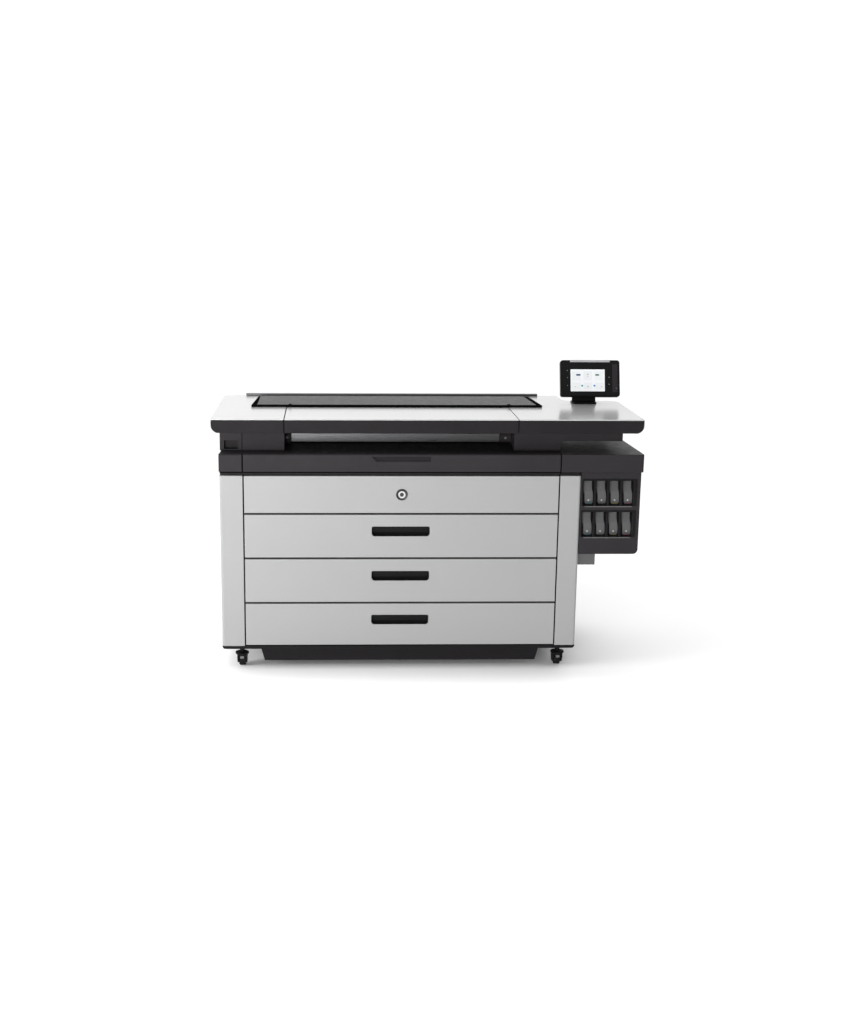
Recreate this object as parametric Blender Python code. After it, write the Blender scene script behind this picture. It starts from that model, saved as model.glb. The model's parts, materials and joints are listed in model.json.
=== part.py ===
"""A large format plotter: a cabinet of three paper drawers on casters, with a print engine on top.

Metres, +Z up. The origin is on the floor, under the centre of the machine. -Y is the front,
where the paper comes out, and +X is the side with the ink cabinet.
"""

import math

import bmesh
import bpy
from mathutils import Matrix, Vector

# Overall size
WIDTH = 1.96
DEPTH = 0.82
TOP_Z = 1.195
RIGHT = WIDTH / 2
LEFT = -RIGHT
FRONT = -DEPTH / 2
REAR = DEPTH / 2

# Fits
GAP = 0.0003  # between pieces that touch
SEAM = 0.001  # between neighbouring covers
SHEET = 0.002  # folded steel
WALL = 0.004  # moulded plastic

# Cabinet
PANEL_FRONT = FRONT + 0.020
CABINET_LEFT = -0.948
CABINET_RIGHT = 0.7065
CABINET_REAR = 0.372
PILLAR_LEFT_INNER = -0.8425
PILLAR_RIGHT_INNER = 0.6105
PILLAR_RADIUS = 0.012
CABINET_TOP = 0.9316
CABINET_BOTTOM = 0.1213
BASE_BOTTOM = 0.105
BASE_RADIUS = 0.014
FRONT_SEAM = 0.004  # beside the drawer fronts
BACK_PANEL_X = (-0.800, 0.560)  # the raised part of the back cover
BACK_PANEL_Z = (0.200, 1.100)
TRAY_TOP_X = (-0.774, 0.548)  # the pan under the base, between the casters
TRAY_BOTTOM_X = (-0.754, 0.529)
TRAY_BOTTOM = 0.030
TRAY_Y = (FRONT + 0.080, 0.330)
DRAWER_SEAMS = (0.7541, 0.5438, 0.3302)  # centre heights of the gaps between the fronts
DRAWER_SEAM = 0.007

# Drawers
FRONT_DEPTH = 0.032
PULL_X = -0.119
PULL_WIDTH = 0.267
PULL_HEIGHT = 0.046
PULL_DEPTH = 0.029
PULL_RADIUS = 0.012
TRAY_LEFT = -0.825
TRAY_RIGHT = 0.593
TRAY_REAR = 0.140
TRAY_HEIGHT = 0.185
TRAY_LIFT = 0.006  # above the drawer front's lower edge
ROLL_YS = (-0.235, 0.035)
ROLL_LIFT = 0.086  # above the tray's lower face
ROLL_RADIUS = 0.070
CORE_RADIUS = 0.0254
ROLL_LENGTH = 1.016
MEDIA_X = -0.124  # centre of the paper path
SPINDLE_RADIUS = 0.0250
FLANGE_RADIUS = 0.055
FLANGE_WIDTH = 0.008
JOURNAL_RADIUS = 0.010
JOURNAL_OVERHANG = 0.006
NOTCH_CLEARANCE = 0.0005

# Print engine
DECK_BOTTOM = 0.9335
DECK_TOP = 1.0327
DECK_FRONT = FRONT + 0.038
ENGINE_REAR = 0.360
BAND_FRONT = FRONT + 0.010
BAND_BOTTOM = 0.9525
BAND_TOP = 1.033
BAND_RADIUS = 0.006
BAND_LEFT = -0.949
FLAP_LEFT = -0.8415
FLAP_RIGHT = 0.6100
FLAP_SKIN = 0.003
FLAP_SLOT_X = (-0.253, 0.013)
FLAP_SLOT_Z = (1.0010, 1.0215)
SLOT_LEFT = -0.6535
SLOT_RIGHT = 0.4055
BAR_X = (-0.628, 0.352)
BAR_Y = (-0.172, -0.142)
BAR_Z = (1.050, 1.094)
ROLLER_Y = -0.112
ROLLER_Z = 1.067
ROLLER_RADIUS = 0.016
SHAFT_RADIUS = 0.004
PRINT_BAR_X = (-0.632, 0.384)
PRINT_BAR_Y = (0.030, 0.130)
PRINT_BAR_Z = (1.060, 1.130)
PRINT_BAR_LEG = 0.020
GUIDE_TOP = 1.0455  # the outlet's sloping guide
GUIDE_DEPTH = 0.112
GUIDE_REAR = -0.095
TOWER_FRONT = FRONT + 0.110
TOWER_BOTTOM = DECK_TOP + 0.0006
TOWER_LEFT_OUTER = -0.847
TOWER_RIGHT_OUTER = 0.6225
END_LEFT = -0.950
NECK_RIGHT = 0.908
NECK_BOTTOM = 1.078
NECK_REAR = 0.150
RECESS_X = (-0.930, -0.865)
RECESS_Z = (1.040, 1.079)  # the finger recess at the left end
RECESS_DEPTH = 0.032

# Top
TOP_SKIN = 0.005
APRON_BOTTOM = 1.131
APRON_TOP = TOP_Z - TOP_SKIN - GAP
APRON_RADIUS = 0.035
HOOD_LEFT = -0.652
HOOD_RIGHT = 0.410
HOOD_REAR = FRONT + 0.368
TOP_REAR = FRONT + 0.800
RIGHT_WING_REAR = FRONT + 0.625  # the top is shallower over the ink cabinet
RIGHT_WING_RADIUS = 0.060
WING_STEP_X = (0.711, 0.735)  # a slanted step down to the wing
TOP_CORNER_RADIUS = 0.030
LID_FRONT = FRONT + 0.375
LID_REAR = FRONT + 0.685
LID_HEIGHT = 0.010
LID_FRONT_X = (-0.819, 0.571)
LID_REAR_X = (-0.800, 0.547)
LID_OPENING_X = (-0.785, 0.525)
LID_OPENING_Y = (LID_FRONT + 0.006, LID_REAR - 0.012)
RAIL_X = (-0.868, 0.608)
RAIL_Y = (FRONT + 0.772, FRONT + 0.797)
RAIL_HEIGHT = 0.011
RAIL_RADIUS = 0.010

# Ink cabinet
INK_HEAD_LEFT = 0.6125
INK_HEAD_RIGHT = 0.9905
INK_HEAD_BOTTOM = 0.950
INK_HEAD_REAR_X = 0.9675  # its side runs in to here at the back
INK_HEAD_RADIUS = 0.008
INK_RIGHT = 0.982
INK_LEFT = CABINET_RIGHT + 0.0006
INK_BOTTOM = 0.563
INK_REAR = 0.020
INK_RADIUS = 0.022
BAY_PITCH = 0.0607
BAY_FIRST_X = 0.7435
BAY_WIDTH = 0.053
BAY_HEIGHT = 0.1165
BAY_REAR = FRONT + 0.388
BAY_FLOORS = {"upper": 0.7935, "lower": 0.6465}
INKS = {
    "cyan": (0.02, 0.35, 0.45),
    "black": (0.02, 0.02, 0.02),
    "yellow": (0.55, 0.48, 0.05),
    "magenta": (0.45, 0.04, 0.20),
}
BRACKET_RIGHT = 0.8005
BRACKET_Y = (FRONT + 0.100, FRONT + 0.360)
BRACKET_BOTTOM = 0.491
CARTRIDGE_WIDTH = 0.050
CARTRIDGE_HEIGHT = 0.111
CARTRIDGE_LENGTH = 0.335
CARTRIDGE_FRONT = FRONT + 0.040

# Control panel
PANEL_AXIS = Vector((0.799, 0.130, 1.275))  # where the swivel axis meets the tilt axis
PANEL_TILT = math.radians(17)
PANEL_X = (0.6737, 0.9622)
PANEL_BELOW = 0.0585  # from the tilt axis down to the lower edge, along the screen
PANEL_ABOVE = 0.120
PANEL_STANDOFF = 0.035
PANEL_THICKNESS = 0.028
PANEL_RADIUS = 0.012
GLASS_INSET = 0.004
GLASS_THICKNESS = 0.002
PANEL_BARREL = 0.011
FOOT_HALF = (0.060, 0.040)  # half the foot's width and depth
FOOT_TOP = TOP_Z + 0.008
NECK_HALF_DEPTH = 0.010
NECK_BASE_HALF = 0.0575
NECK_SHOULDER = (0.0565, 0.024)  # half width, and height above the foot
NECK_HALF = 0.029
PIN_HALF = 0.039
EAR_SPAN = (0.031, 0.038)  # from the middle out, clear of the barrel
EAR_HALF = 0.014

# Casters
CASTER_XS = {"left": -0.860, "right": 0.637}
CASTER_Y = 0.320
CASTER_TRAIL = 0.018  # from the swivel axis to the axle
WHEEL_RADIUS = 0.025
WHEEL_WIDTH = 0.030
WHEEL_CLEARANCE = 0.001
HUB_DISH = 0.003  # depth of the ring between the hub and the tread
FORK_WIDTH = 0.046
FORK_TOP = 0.062
FORK_CROWN = 0.0525  # underside of the fork over the wheel
FORK_FOOT = 0.016
SWIVEL_PLATE_Z = (0.056, 0.071)
SWIVEL_PLATE_RADII = (0.021, 0.032)
STEM_RADIUS = 0.011
AXLE_RADIUS = 0.004
AXLE_RECESS = 0.003

# Colours, linear, with roughness and metallic value
LIGHT_PAINT = ((0.56, 0.56, 0.57), 0.45, 0.0)
TOP_WHITE = ((0.80, 0.80, 0.80), 0.25, 0.0)
CHARCOAL = ((0.055, 0.050, 0.055), 0.50, 0.0)
BLACK = ((0.010, 0.010, 0.011), 0.50, 0.0)
LID_GREY = ((0.16, 0.16, 0.16), 0.45, 0.0)
STEEL = ((0.22, 0.22, 0.22), 0.35, 0.9)
CARTRIDGE_GREY = ((0.075, 0.075, 0.078), 0.45, 0.0)
RUBBER = ((0.015, 0.015, 0.015), 0.80, 0.0)
GLASS_BLACK = ((0.008, 0.008, 0.009), 0.08, 0.0)
ZINC = ((0.45, 0.45, 0.47), 0.35, 0.9)
SPINDLE_BLUE = ((0.03, 0.10, 0.22), 0.45, 0.0)
PAPER = ((0.86, 0.85, 0.82), 0.80, 0.0)


def clear_scene():
    for item in list(bpy.data.objects):
        bpy.data.objects.remove(item)


# Shapes


def finished(name, bm):
    """A mesh object from a bmesh, with its faces pointing out and its round sides smooth."""
    bmesh.ops.recalc_face_normals(bm, faces=bm.faces)
    mesh = bpy.data.meshes.new(name)
    bm.to_mesh(mesh)
    bm.free()
    mesh.shade_smooth()
    mesh.set_sharp_from_angle(angle=math.radians(35))
    item = bpy.data.objects.new(name, mesh)
    bpy.context.scene.collection.objects.link(item)
    return item


def boxes(name, *corners):
    """One object of boxes, each given as its lowest and its highest corner."""
    bm = bmesh.new()
    for low, high in corners:
        low, high = Vector(low), Vector(high)
        place = Matrix.Translation((low + high) / 2) @ Matrix.Diagonal((*(high - low), 1))
        bmesh.ops.create_cube(bm, size=1, matrix=place)
    return finished(name, bm)


def filleted(corners, steps=4):
    """The points of a closed outline whose corners are (a, b), or (a, b, radius) for a rounded one."""
    points = []
    for index, corner in enumerate(corners):
        here = Vector(corner[:2])
        if len(corner) == 2:
            points.append(here)
            continue
        radius = corner[2]
        back = (Vector(corners[index - 1][:2]) - here).normalized()
        ahead = (Vector(corners[(index + 1) % len(corners)][:2]) - here).normalized()
        half = back.angle(ahead) / 2
        centre = here + (back + ahead).normalized() * radius / math.sin(half)
        start = here + back * radius / math.tan(half) - centre
        turn = -start.angle_signed(here + ahead * radius / math.tan(half) - centre)
        for step in range(steps + 1):
            points.append(centre + Matrix.Rotation(turn * step / steps, 2) @ start)
    return points


def rectangle(low, high, radius, steps=4):
    """A rounded rectangle's outline."""
    (a, b), (c, d) = low, high
    return filleted([(a, b, radius), (c, b, radius), (c, d, radius), (a, d, radius)], steps)


def prism(name, outline, axis, start, end):
    """An outline swept along an axis: (y, z) points along X, (x, z) along Y, (x, y) along Z."""
    slot = "XYZ".index(axis)

    def placed(point, along):
        coords = list(point)
        coords.insert(slot, along)
        return coords

    bm = bmesh.new()
    face = bm.faces.new([bm.verts.new(placed(point, start)) for point in outline])
    swept = bmesh.ops.extrude_face_region(bm, geom=[face])
    moved = [item for item in swept["geom"] if isinstance(item, bmesh.types.BMVert)]
    shift = Vector((0, 0, 0))
    shift[slot] = end - start
    bmesh.ops.translate(bm, vec=shift, verts=moved)
    return finished(name, bm)


def turned(name, profile, centre, axis="X", sides=24, closed=False):
    """A profile of (distance along the axis, radius) points, turned about an axis through centre."""
    bm = bmesh.new()
    verts = [bm.verts.new((along, 0, radius)) for along, radius in profile]
    pairs = list(zip(verts, verts[1:]))
    if closed:
        pairs.append((verts[-1], verts[0]))
    edges = [bm.edges.new(pair) for pair in pairs]
    bmesh.ops.spin(
        bm, geom=verts + edges, cent=(0, 0, 0), axis=(1, 0, 0), angle=math.tau, steps=sides, use_merge=True
    )
    bmesh.ops.remove_doubles(bm, verts=bm.verts, dist=1e-6)
    if axis == "Z":
        bmesh.ops.rotate(bm, verts=bm.verts, matrix=Matrix.Rotation(-math.pi / 2, 3, "Y"))
    bmesh.ops.translate(bm, verts=bm.verts, vec=centre)
    return finished(name, bm)


def rod(name, start, end, radius, centre, axis="X", sides=24):
    """A cylinder between two distances along its axis."""
    profile = [(start, 0), (start, radius), (end, radius), (end, 0)]
    return turned(name, profile, centre, axis, sides)


def boolean(piece, operation, tool):
    tool.hide_render = True
    tool.display_type = "WIRE"
    modifier = piece.modifiers.new(operation.title(), "BOOLEAN")
    modifier.operation = operation
    modifier.object = tool


def cut(piece, *tools):
    for tool in tools:
        boolean(piece, "DIFFERENCE", tool)


def add(piece, *tools):
    for tool in tools:
        boolean(piece, "UNION", tool)


def paint(piece, finish):
    """Give a piece its own material."""
    colour, roughness, metallic = finish
    material = bpy.data.materials.new(piece.name)
    material.use_nodes = True
    shader = material.node_tree.nodes["Principled BSDF"]
    shader.inputs["Base Color"].default_value = (*colour, 1)
    shader.inputs["Roughness"].default_value = roughness
    shader.inputs["Metallic"].default_value = metallic
    piece.data.materials.append(material)
    return piece


def pivot(name, place, parent=None):
    """An empty on a joint's axis, which carries what moves with the joint."""
    empty = bpy.data.objects.new(name, None)
    empty.location = Vector(place) - (parent.matrix_world.translation if parent else Vector((0, 0, 0)))
    empty.parent = parent
    bpy.context.scene.collection.objects.link(empty)
    bpy.context.view_layer.update()
    return empty


def carry(empty, *pieces):
    """Hang pieces, built where they stand, on a pivot, with their origins on its axis."""
    for piece in pieces:
        piece.data.transform(Matrix.Translation(-empty.matrix_world.translation))
        piece.parent = empty


# Chassis


def base_plate():
    outline = filleted(
        [
            (CABINET_LEFT, CABINET_BOTTOM - GAP),
            (CABINET_LEFT, BASE_BOTTOM, BASE_RADIUS),
            (CABINET_RIGHT, BASE_BOTTOM, BASE_RADIUS),
            (CABINET_RIGHT, CABINET_BOTTOM - GAP),
        ]
    )
    plate = prism("base_plate", outline, "Y", PANEL_FRONT + 0.004, CABINET_REAR)
    inset = BASE_RADIUS
    pocket = boxes(
        "base_plate_pocket",
        (
            (CABINET_LEFT + inset, PANEL_FRONT + inset, BASE_BOTTOM + 0.004),
            (CABINET_RIGHT - inset, CABINET_REAR - inset, CABINET_BOTTOM + 0.01),
        ),
    )
    cut(plate, pocket)
    paint(plate, BLACK)


def side_panel(name, outer, inner):
    """A folded steel column, open at both ends, from the front corner to the back."""
    side = math.copysign(1, outer - inner)
    rear = CABINET_REAR - GAP - SHEET
    outline = filleted(
        [(outer, PANEL_FRONT, PILLAR_RADIUS), (inner, PANEL_FRONT), (inner, rear), (outer, rear)], 5
    )
    column = prism(name, outline, "Z", CABINET_BOTTOM, CABINET_TOP)
    bore = boxes(
        name + "_bore",
        (
            (min(outer, inner) + SHEET, PANEL_FRONT + SHEET, CABINET_BOTTOM - 0.01),
            (max(outer, inner) - SHEET, rear - SHEET, CABINET_TOP + 0.01),
        ),
    )
    cut(column, bore)
    stiffener = boxes(
        name + "_stiffener",
        (
            (outer - side * (PILLAR_RADIUS + 0.001), PANEL_FRONT + 0.0005, CABINET_BOTTOM + 0.001),
            (outer - side * 0.001, PANEL_FRONT + PILLAR_RADIUS, CABINET_TOP - 0.001),
        ),
    )
    add(column, stiffener)
    paint(column, LIGHT_PAINT)


def back_cover():
    """A flat steel back with a raised panel over the paper path."""
    top = APRON_TOP - 0.001
    cover = boxes(
        "back_cover",
        ((CABINET_LEFT, CABINET_REAR, CABINET_BOTTOM), (CABINET_RIGHT, CABINET_REAR + SHEET, top)),
    )
    (left, right), (low, high) = BACK_PANEL_X, BACK_PANEL_Z
    raised = boxes(
        "back_cover_raised",
        ((left, CABINET_REAR + SHEET / 2, low), (right, REAR, high)),
    )
    hollow = boxes(
        "back_cover_hollow",
        ((left + SHEET, CABINET_REAR - 0.01, low + SHEET), (right - SHEET, REAR - SHEET, high - SHEET)),
    )
    add(cover, raised)
    cut(cover, hollow)
    paint(cover, LIGHT_PAINT)


def upper_front_panel():
    low = (PILLAR_LEFT_INNER + FRONT_SEAM, PANEL_FRONT, DRAWER_SEAMS[0] + DRAWER_SEAM / 2)
    high = (PILLAR_RIGHT_INNER - FRONT_SEAM, PANEL_FRONT + FRONT_DEPTH, CABINET_TOP)
    panel = boxes("upper_front_panel", (low, high))
    cut(panel, sheet_hollow("upper_front_panel_hollow", low, high))
    paint(panel, LIGHT_PAINT)


def sheet_hollow(name, low, high):
    """What is cut from the back of a block to leave a folded steel pan."""
    return boxes(
        name,
        (
            (low[0] + SHEET, low[1] + SHEET, low[2] + SHEET),
            (high[0] - SHEET, high[1] + 0.01, high[2] - SHEET),
        ),
    )


def lower_tray():
    """A shallow pan under the base, between the casters."""
    top = BASE_BOTTOM - GAP
    (top_left, top_right), (left, right) = TRAY_TOP_X, TRAY_BOTTOM_X
    outline = [(top_left, top), (left, TRAY_BOTTOM), (right, TRAY_BOTTOM), (top_right, top)]
    tray = prism("lower_tray", outline, "Y", *TRAY_Y)
    hollow = [
        (top_left + WALL, top + 0.01),
        (left + WALL, TRAY_BOTTOM + WALL),
        (right - WALL, TRAY_BOTTOM + WALL),
        (top_right - WALL, top + 0.01),
    ]
    cut(tray, prism("lower_tray_hollow", hollow, "Y", TRAY_Y[0] + WALL, TRAY_Y[1] - WALL))
    paint(tray, CHARCOAL)


# Drawers


def drawer_heights(index):
    """The lower and upper edges of a drawer's front, counted from the top drawer."""
    top = DRAWER_SEAMS[index] - DRAWER_SEAM / 2
    if index + 1 < len(DRAWER_SEAMS):
        return DRAWER_SEAMS[index + 1] + DRAWER_SEAM / 2, top
    return CABINET_BOTTOM + FRONT_SEAM, top


def pull_height(index):
    """The height of a drawer pull's centre."""
    low, high = drawer_heights(index)
    return low + 0.611 * (high - low)


def drawer_front(name, index):
    """A folded steel pan with a finger recess behind its face."""
    bottom, top = drawer_heights(index)
    low = (PILLAR_LEFT_INNER + FRONT_SEAM, PANEL_FRONT, bottom)
    high = (PILLAR_RIGHT_INNER - FRONT_SEAM, PANEL_FRONT + FRONT_DEPTH, top)
    front = boxes(name, (low, high))
    cut(front, sheet_hollow(name + "_hollow", low, high))
    middle = pull_height(index)
    half_width = PULL_WIDTH / 2
    half_height = PULL_HEIGHT / 2
    cup = prism(
        name + "_cup",
        rectangle(
            (PULL_X - half_width - SHEET, middle - half_height - SHEET),
            (PULL_X + half_width + SHEET, middle + half_height + SHEET),
            PULL_RADIUS + SHEET,
            3,
        ),
        "Y",
        PANEL_FRONT + 0.001,
        PANEL_FRONT + FRONT_DEPTH,
    )
    recess = prism(
        name + "_recess",
        rectangle(
            (PULL_X - half_width, middle - half_height),
            (PULL_X + half_width, middle + half_height),
            PULL_RADIUS,
            3,
        ),
        "Y",
        PANEL_FRONT - 0.01,
        PANEL_FRONT + PULL_DEPTH,
    )
    add(front, cup)
    cut(front, recess)
    return paint(front, LIGHT_PAINT)


def drawer_tray(name, index):
    """An open steel box whose side walls hold the spindles' journals in notches."""
    floor = drawer_heights(index)[0] + TRAY_LIFT
    front = PANEL_FRONT + FRONT_DEPTH + GAP
    low = (TRAY_LEFT, front, floor)
    high = (TRAY_RIGHT, TRAY_REAR, floor + TRAY_HEIGHT)
    tray = boxes(name, (low, high))
    inside = boxes(
        name + "_inside",
        (
            (TRAY_LEFT + SHEET, front + SHEET, floor + SHEET),
            (TRAY_RIGHT - SHEET, TRAY_REAR - SHEET, floor + TRAY_HEIGHT + 0.01),
        ),
    )
    cut(tray, inside)
    half = JOURNAL_RADIUS + NOTCH_CLEARANCE
    for number, middle in enumerate(ROLL_YS):
        rim = floor + TRAY_HEIGHT + 0.01
        seat = floor + ROLL_LIFT - half
        outline = filleted(
            [
                (middle - half, rim),
                (middle - half, seat, half * 0.98),
                (middle + half, seat, half * 0.98),
                (middle + half, rim),
            ]
        )
        notch = prism(f"{name}_notch_{number}", outline, "X", TRAY_LEFT - 0.01, TRAY_RIGHT + 0.01)
        cut(tray, notch)
    return paint(tray, ZINC)


def spindle(name, centre):
    """A roll's mandrel: a journal at each end, a flange against each end of the roll, a core between."""
    half = ROLL_LENGTH / 2 + GAP
    profile = [
        (TRAY_LEFT - JOURNAL_OVERHANG - MEDIA_X, 0),
        (TRAY_LEFT - JOURNAL_OVERHANG - MEDIA_X, JOURNAL_RADIUS),
        (-half - FLANGE_WIDTH, JOURNAL_RADIUS),
        (-half - FLANGE_WIDTH, FLANGE_RADIUS),
        (-half, FLANGE_RADIUS),
        (-half, SPINDLE_RADIUS),
        (half, SPINDLE_RADIUS),
        (half, FLANGE_RADIUS),
        (half + FLANGE_WIDTH, FLANGE_RADIUS),
        (half + FLANGE_WIDTH, JOURNAL_RADIUS),
        (TRAY_RIGHT + JOURNAL_OVERHANG - MEDIA_X, JOURNAL_RADIUS),
        (TRAY_RIGHT + JOURNAL_OVERHANG - MEDIA_X, 0),
    ]
    return paint(turned(name, profile, centre, sides=20), SPINDLE_BLUE)


def media_roll(name, centre):
    half = ROLL_LENGTH / 2
    profile = [(-half, CORE_RADIUS), (-half, ROLL_RADIUS), (half, ROLL_RADIUS), (half, CORE_RADIUS)]
    return paint(turned(name, profile, centre, sides=20, closed=True), PAPER)


def drawers():
    for index in range(len(DRAWER_SEAMS)):
        number = index + 1
        floor = drawer_heights(index)[0] + TRAY_LIFT
        slide = pivot(f"drawer_{number}", (0, PANEL_FRONT, floor))
        front = drawer_front(f"drawer_front_{number}", index)
        tray = drawer_tray(f"drawer_tray_{number}", index)
        carry(slide, front, tray)
        for letter, middle in zip("ab", ROLL_YS):
            centre = (MEDIA_X, middle, floor + ROLL_LIFT)
            axle = pivot(f"spindle_axis_{number}{letter}", centre, slide)
            mandrel = spindle(f"spindle_{number}{letter}", centre)
            roll = media_roll(f"media_roll_{number}{letter}", centre)
            carry(axle, mandrel, roll)


# Print engine


def platen_deck():
    """The engine's bed, with the band's left end in front and the outlet's sloping guide on top."""
    deck = boxes(
        "platen_deck",
        ((CABINET_LEFT + 0.002, DECK_FRONT, DECK_BOTTOM), (PILLAR_RIGHT_INNER, ENGINE_REAR, DECK_TOP)),
    )
    hollow = boxes(
        "platen_deck_hollow",
        (
            (CABINET_LEFT + 0.002 + WALL, DECK_FRONT + WALL, DECK_BOTTOM - 0.01),
            (PILLAR_RIGHT_INNER - WALL, ENGINE_REAR - WALL, DECK_TOP - WALL),
        ),
    )
    guide_outline = [
        (TOWER_FRONT + 0.002, DECK_TOP - 0.002),
        (TOWER_FRONT + GUIDE_DEPTH, GUIDE_TOP),
        (GUIDE_REAR, GUIDE_TOP),
        (GUIDE_REAR, DECK_TOP - 0.002),
    ]
    guide = prism("platen_deck_guide", guide_outline, "X", SLOT_LEFT + 0.001, SLOT_RIGHT - 0.001)
    end_outline = filleted(
        [
            (BAND_FRONT, BAND_BOTTOM),
            (DECK_FRONT + 0.001, BAND_BOTTOM),
            (DECK_FRONT + 0.001, DECK_TOP),
            (BAND_FRONT, DECK_TOP, BAND_RADIUS),
        ],
        3,
    )
    end = prism("platen_deck_end", end_outline, "X", BAND_LEFT, FLAP_LEFT - 0.003)
    cut(deck, hollow)
    add(deck, guide, end)
    paint(deck, CHARCOAL)


def access_flap():
    """The long flap in the band, hinged along its lower front edge."""
    rear = DECK_FRONT - 0.0015
    outline = filleted(
        [
            (BAND_FRONT, BAND_BOTTOM),
            (BAND_FRONT + FLAP_SKIN, BAND_BOTTOM),
            (BAND_FRONT + FLAP_SKIN, BAND_TOP - FLAP_SKIN, BAND_RADIUS - FLAP_SKIN),
            (rear, BAND_TOP - FLAP_SKIN),
            (rear, BAND_TOP),
            (BAND_FRONT, BAND_TOP, BAND_RADIUS),
        ],
        3,
    )
    flap = prism("access_flap", outline, "X", FLAP_LEFT, FLAP_RIGHT)
    low, high = FLAP_SLOT_Z
    left, right = FLAP_SLOT_X
    slot_outline = [(left, high), (left + 0.019, low), (right, low), (right, high)]
    cut(flap, prism("access_flap_slot", slot_outline, "Y", BAND_FRONT - 0.01, BAND_FRONT + 0.01))
    hinge = pivot("access_flap_hinge", (0, BAND_FRONT + FLAP_SKIN, BAND_BOTTOM + FLAP_SKIN))
    paint(flap, CHARCOAL)
    carry(hinge, flap)


def output_bar():
    """A bent steel bar across the paper outlet."""
    front, rear = BAR_Y
    low, high = BAR_Z
    outline = filleted(
        [
            (front, low, 0.004),
            (rear, low),
            (rear, low + SHEET),
            (front + SHEET, low + SHEET, 0.002),
            (front + SHEET, high - SHEET, 0.002),
            (rear, high - SHEET),
            (rear, high),
            (front, high, 0.004),
        ],
        2,
    )
    paint(prism("output_bar", outline, "X", *BAR_X), STEEL)


def output_roller():
    """The driven roller behind the bar, with a thin shaft at each end."""
    left, right = BAR_X
    profile = [
        (left - 0.012, 0),
        (left - 0.012, SHAFT_RADIUS),
        (left + 0.010, SHAFT_RADIUS),
        (left + 0.010, ROLLER_RADIUS),
        (right - 0.010, ROLLER_RADIUS),
        (right - 0.010, SHAFT_RADIUS),
        (right + 0.012, SHAFT_RADIUS),
        (right + 0.012, 0),
    ]
    roller = paint(turned("output_roller", profile, (0, ROLLER_Y, ROLLER_Z), sides=20), RUBBER)
    carry(pivot("output_roller_axis", (0, ROLLER_Y, ROLLER_Z)), roller)


def print_bar():
    """The page-wide print bar, on two legs that straddle the paper path."""
    (left, right), (front, rear), (low, high) = PRINT_BAR_X, PRINT_BAR_Y, PRINT_BAR_Z
    bar = boxes("print_bar", ((left, front, low), (right, rear, high)))
    inset = PRINT_BAR_LEG / 2
    legs = boxes(
        "print_bar_legs",
        ((left, front + inset, TOWER_BOTTOM), (left + PRINT_BAR_LEG, rear - inset, low + inset)),
        ((right - PRINT_BAR_LEG, front + inset, TOWER_BOTTOM), (right, rear - inset, low + inset)),
    )
    add(bar, legs)
    paint(bar, BLACK)


def bearing(name, start, end):
    """A block beside the outlet, with a bore for the output roller's shaft."""
    low = (BAR_Y[0] - 0.004, BAR_Z[0] - 0.002)
    high = (ROLLER_Y + 0.018, BAR_Z[1] + 0.002)
    outline = rectangle(low, high, 0.012, 3)
    return prism(name, outline, "X", start, end)


def shaft_bore(name, start, end):
    return rod(name, start, end, SHAFT_RADIUS + GAP, (0, ROLLER_Y, ROLLER_Z), sides=20)


def apron_outline(outer, inner):
    """The apron seen from the front, with its outer lower corner rounded."""
    rounded = (outer, APRON_BOTTOM, APRON_RADIUS)
    return filleted([(outer, APRON_TOP), rounded, (inner, APRON_BOTTOM), (inner, APRON_TOP)], 6)


def head_housing_left():
    """The apron, tower and end cap to the left of the outlet: a shell that is open under the top."""
    inner = HOOD_LEFT - SEAM
    housing = prism("head_housing_left", apron_outline(LEFT, inner), "Y", FRONT, ENGINE_REAR)
    tower = boxes(
        "head_housing_left_tower",
        ((END_LEFT, TOWER_FRONT, TOWER_BOTTOM), (SLOT_LEFT, ENGINE_REAR - SEAM, APRON_BOTTOM + 0.010)),
    )
    hollow = boxes(
        "head_housing_left_hollow",
        ((LEFT + APRON_RADIUS, FRONT + WALL, APRON_BOTTOM + WALL), (inner - WALL, ENGINE_REAR - WALL, TOP_Z)),
    )
    tower_hollow = boxes(
        "head_housing_left_tower_hollow",
        (
            (TOWER_LEFT_OUTER + WALL, TOWER_FRONT + WALL, TOWER_BOTTOM + WALL),
            (SLOT_LEFT - WALL, ENGINE_REAR - 0.006, APRON_BOTTOM + 0.008),
        ),
    )
    seam = boxes(
        "head_housing_left_seam",
        (
            (TOWER_LEFT_OUTER - 0.002, TOWER_FRONT - 0.01, TOWER_BOTTOM - 0.01),
            (TOWER_LEFT_OUTER + 0.001, TOWER_FRONT + 0.006, APRON_BOTTOM),
        ),
    )
    recess = boxes(
        "head_housing_left_recess",
        (
            (RECESS_X[0], TOWER_FRONT - 0.01, RECESS_Z[0]),
            (RECESS_X[1], TOWER_FRONT + RECESS_DEPTH, RECESS_Z[1]),
        ),
    )
    add(housing, tower, bearing("head_housing_left_bearing", SLOT_LEFT - 0.001, BAR_X[0] - 0.0015))
    cut(
        housing,
        hollow,
        tower_hollow,
        seam,
        recess,
        shaft_bore("head_housing_left_bore", SLOT_LEFT + 0.004, BAR_X[0] + 0.01),
    )
    paint(housing, CHARCOAL)


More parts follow.
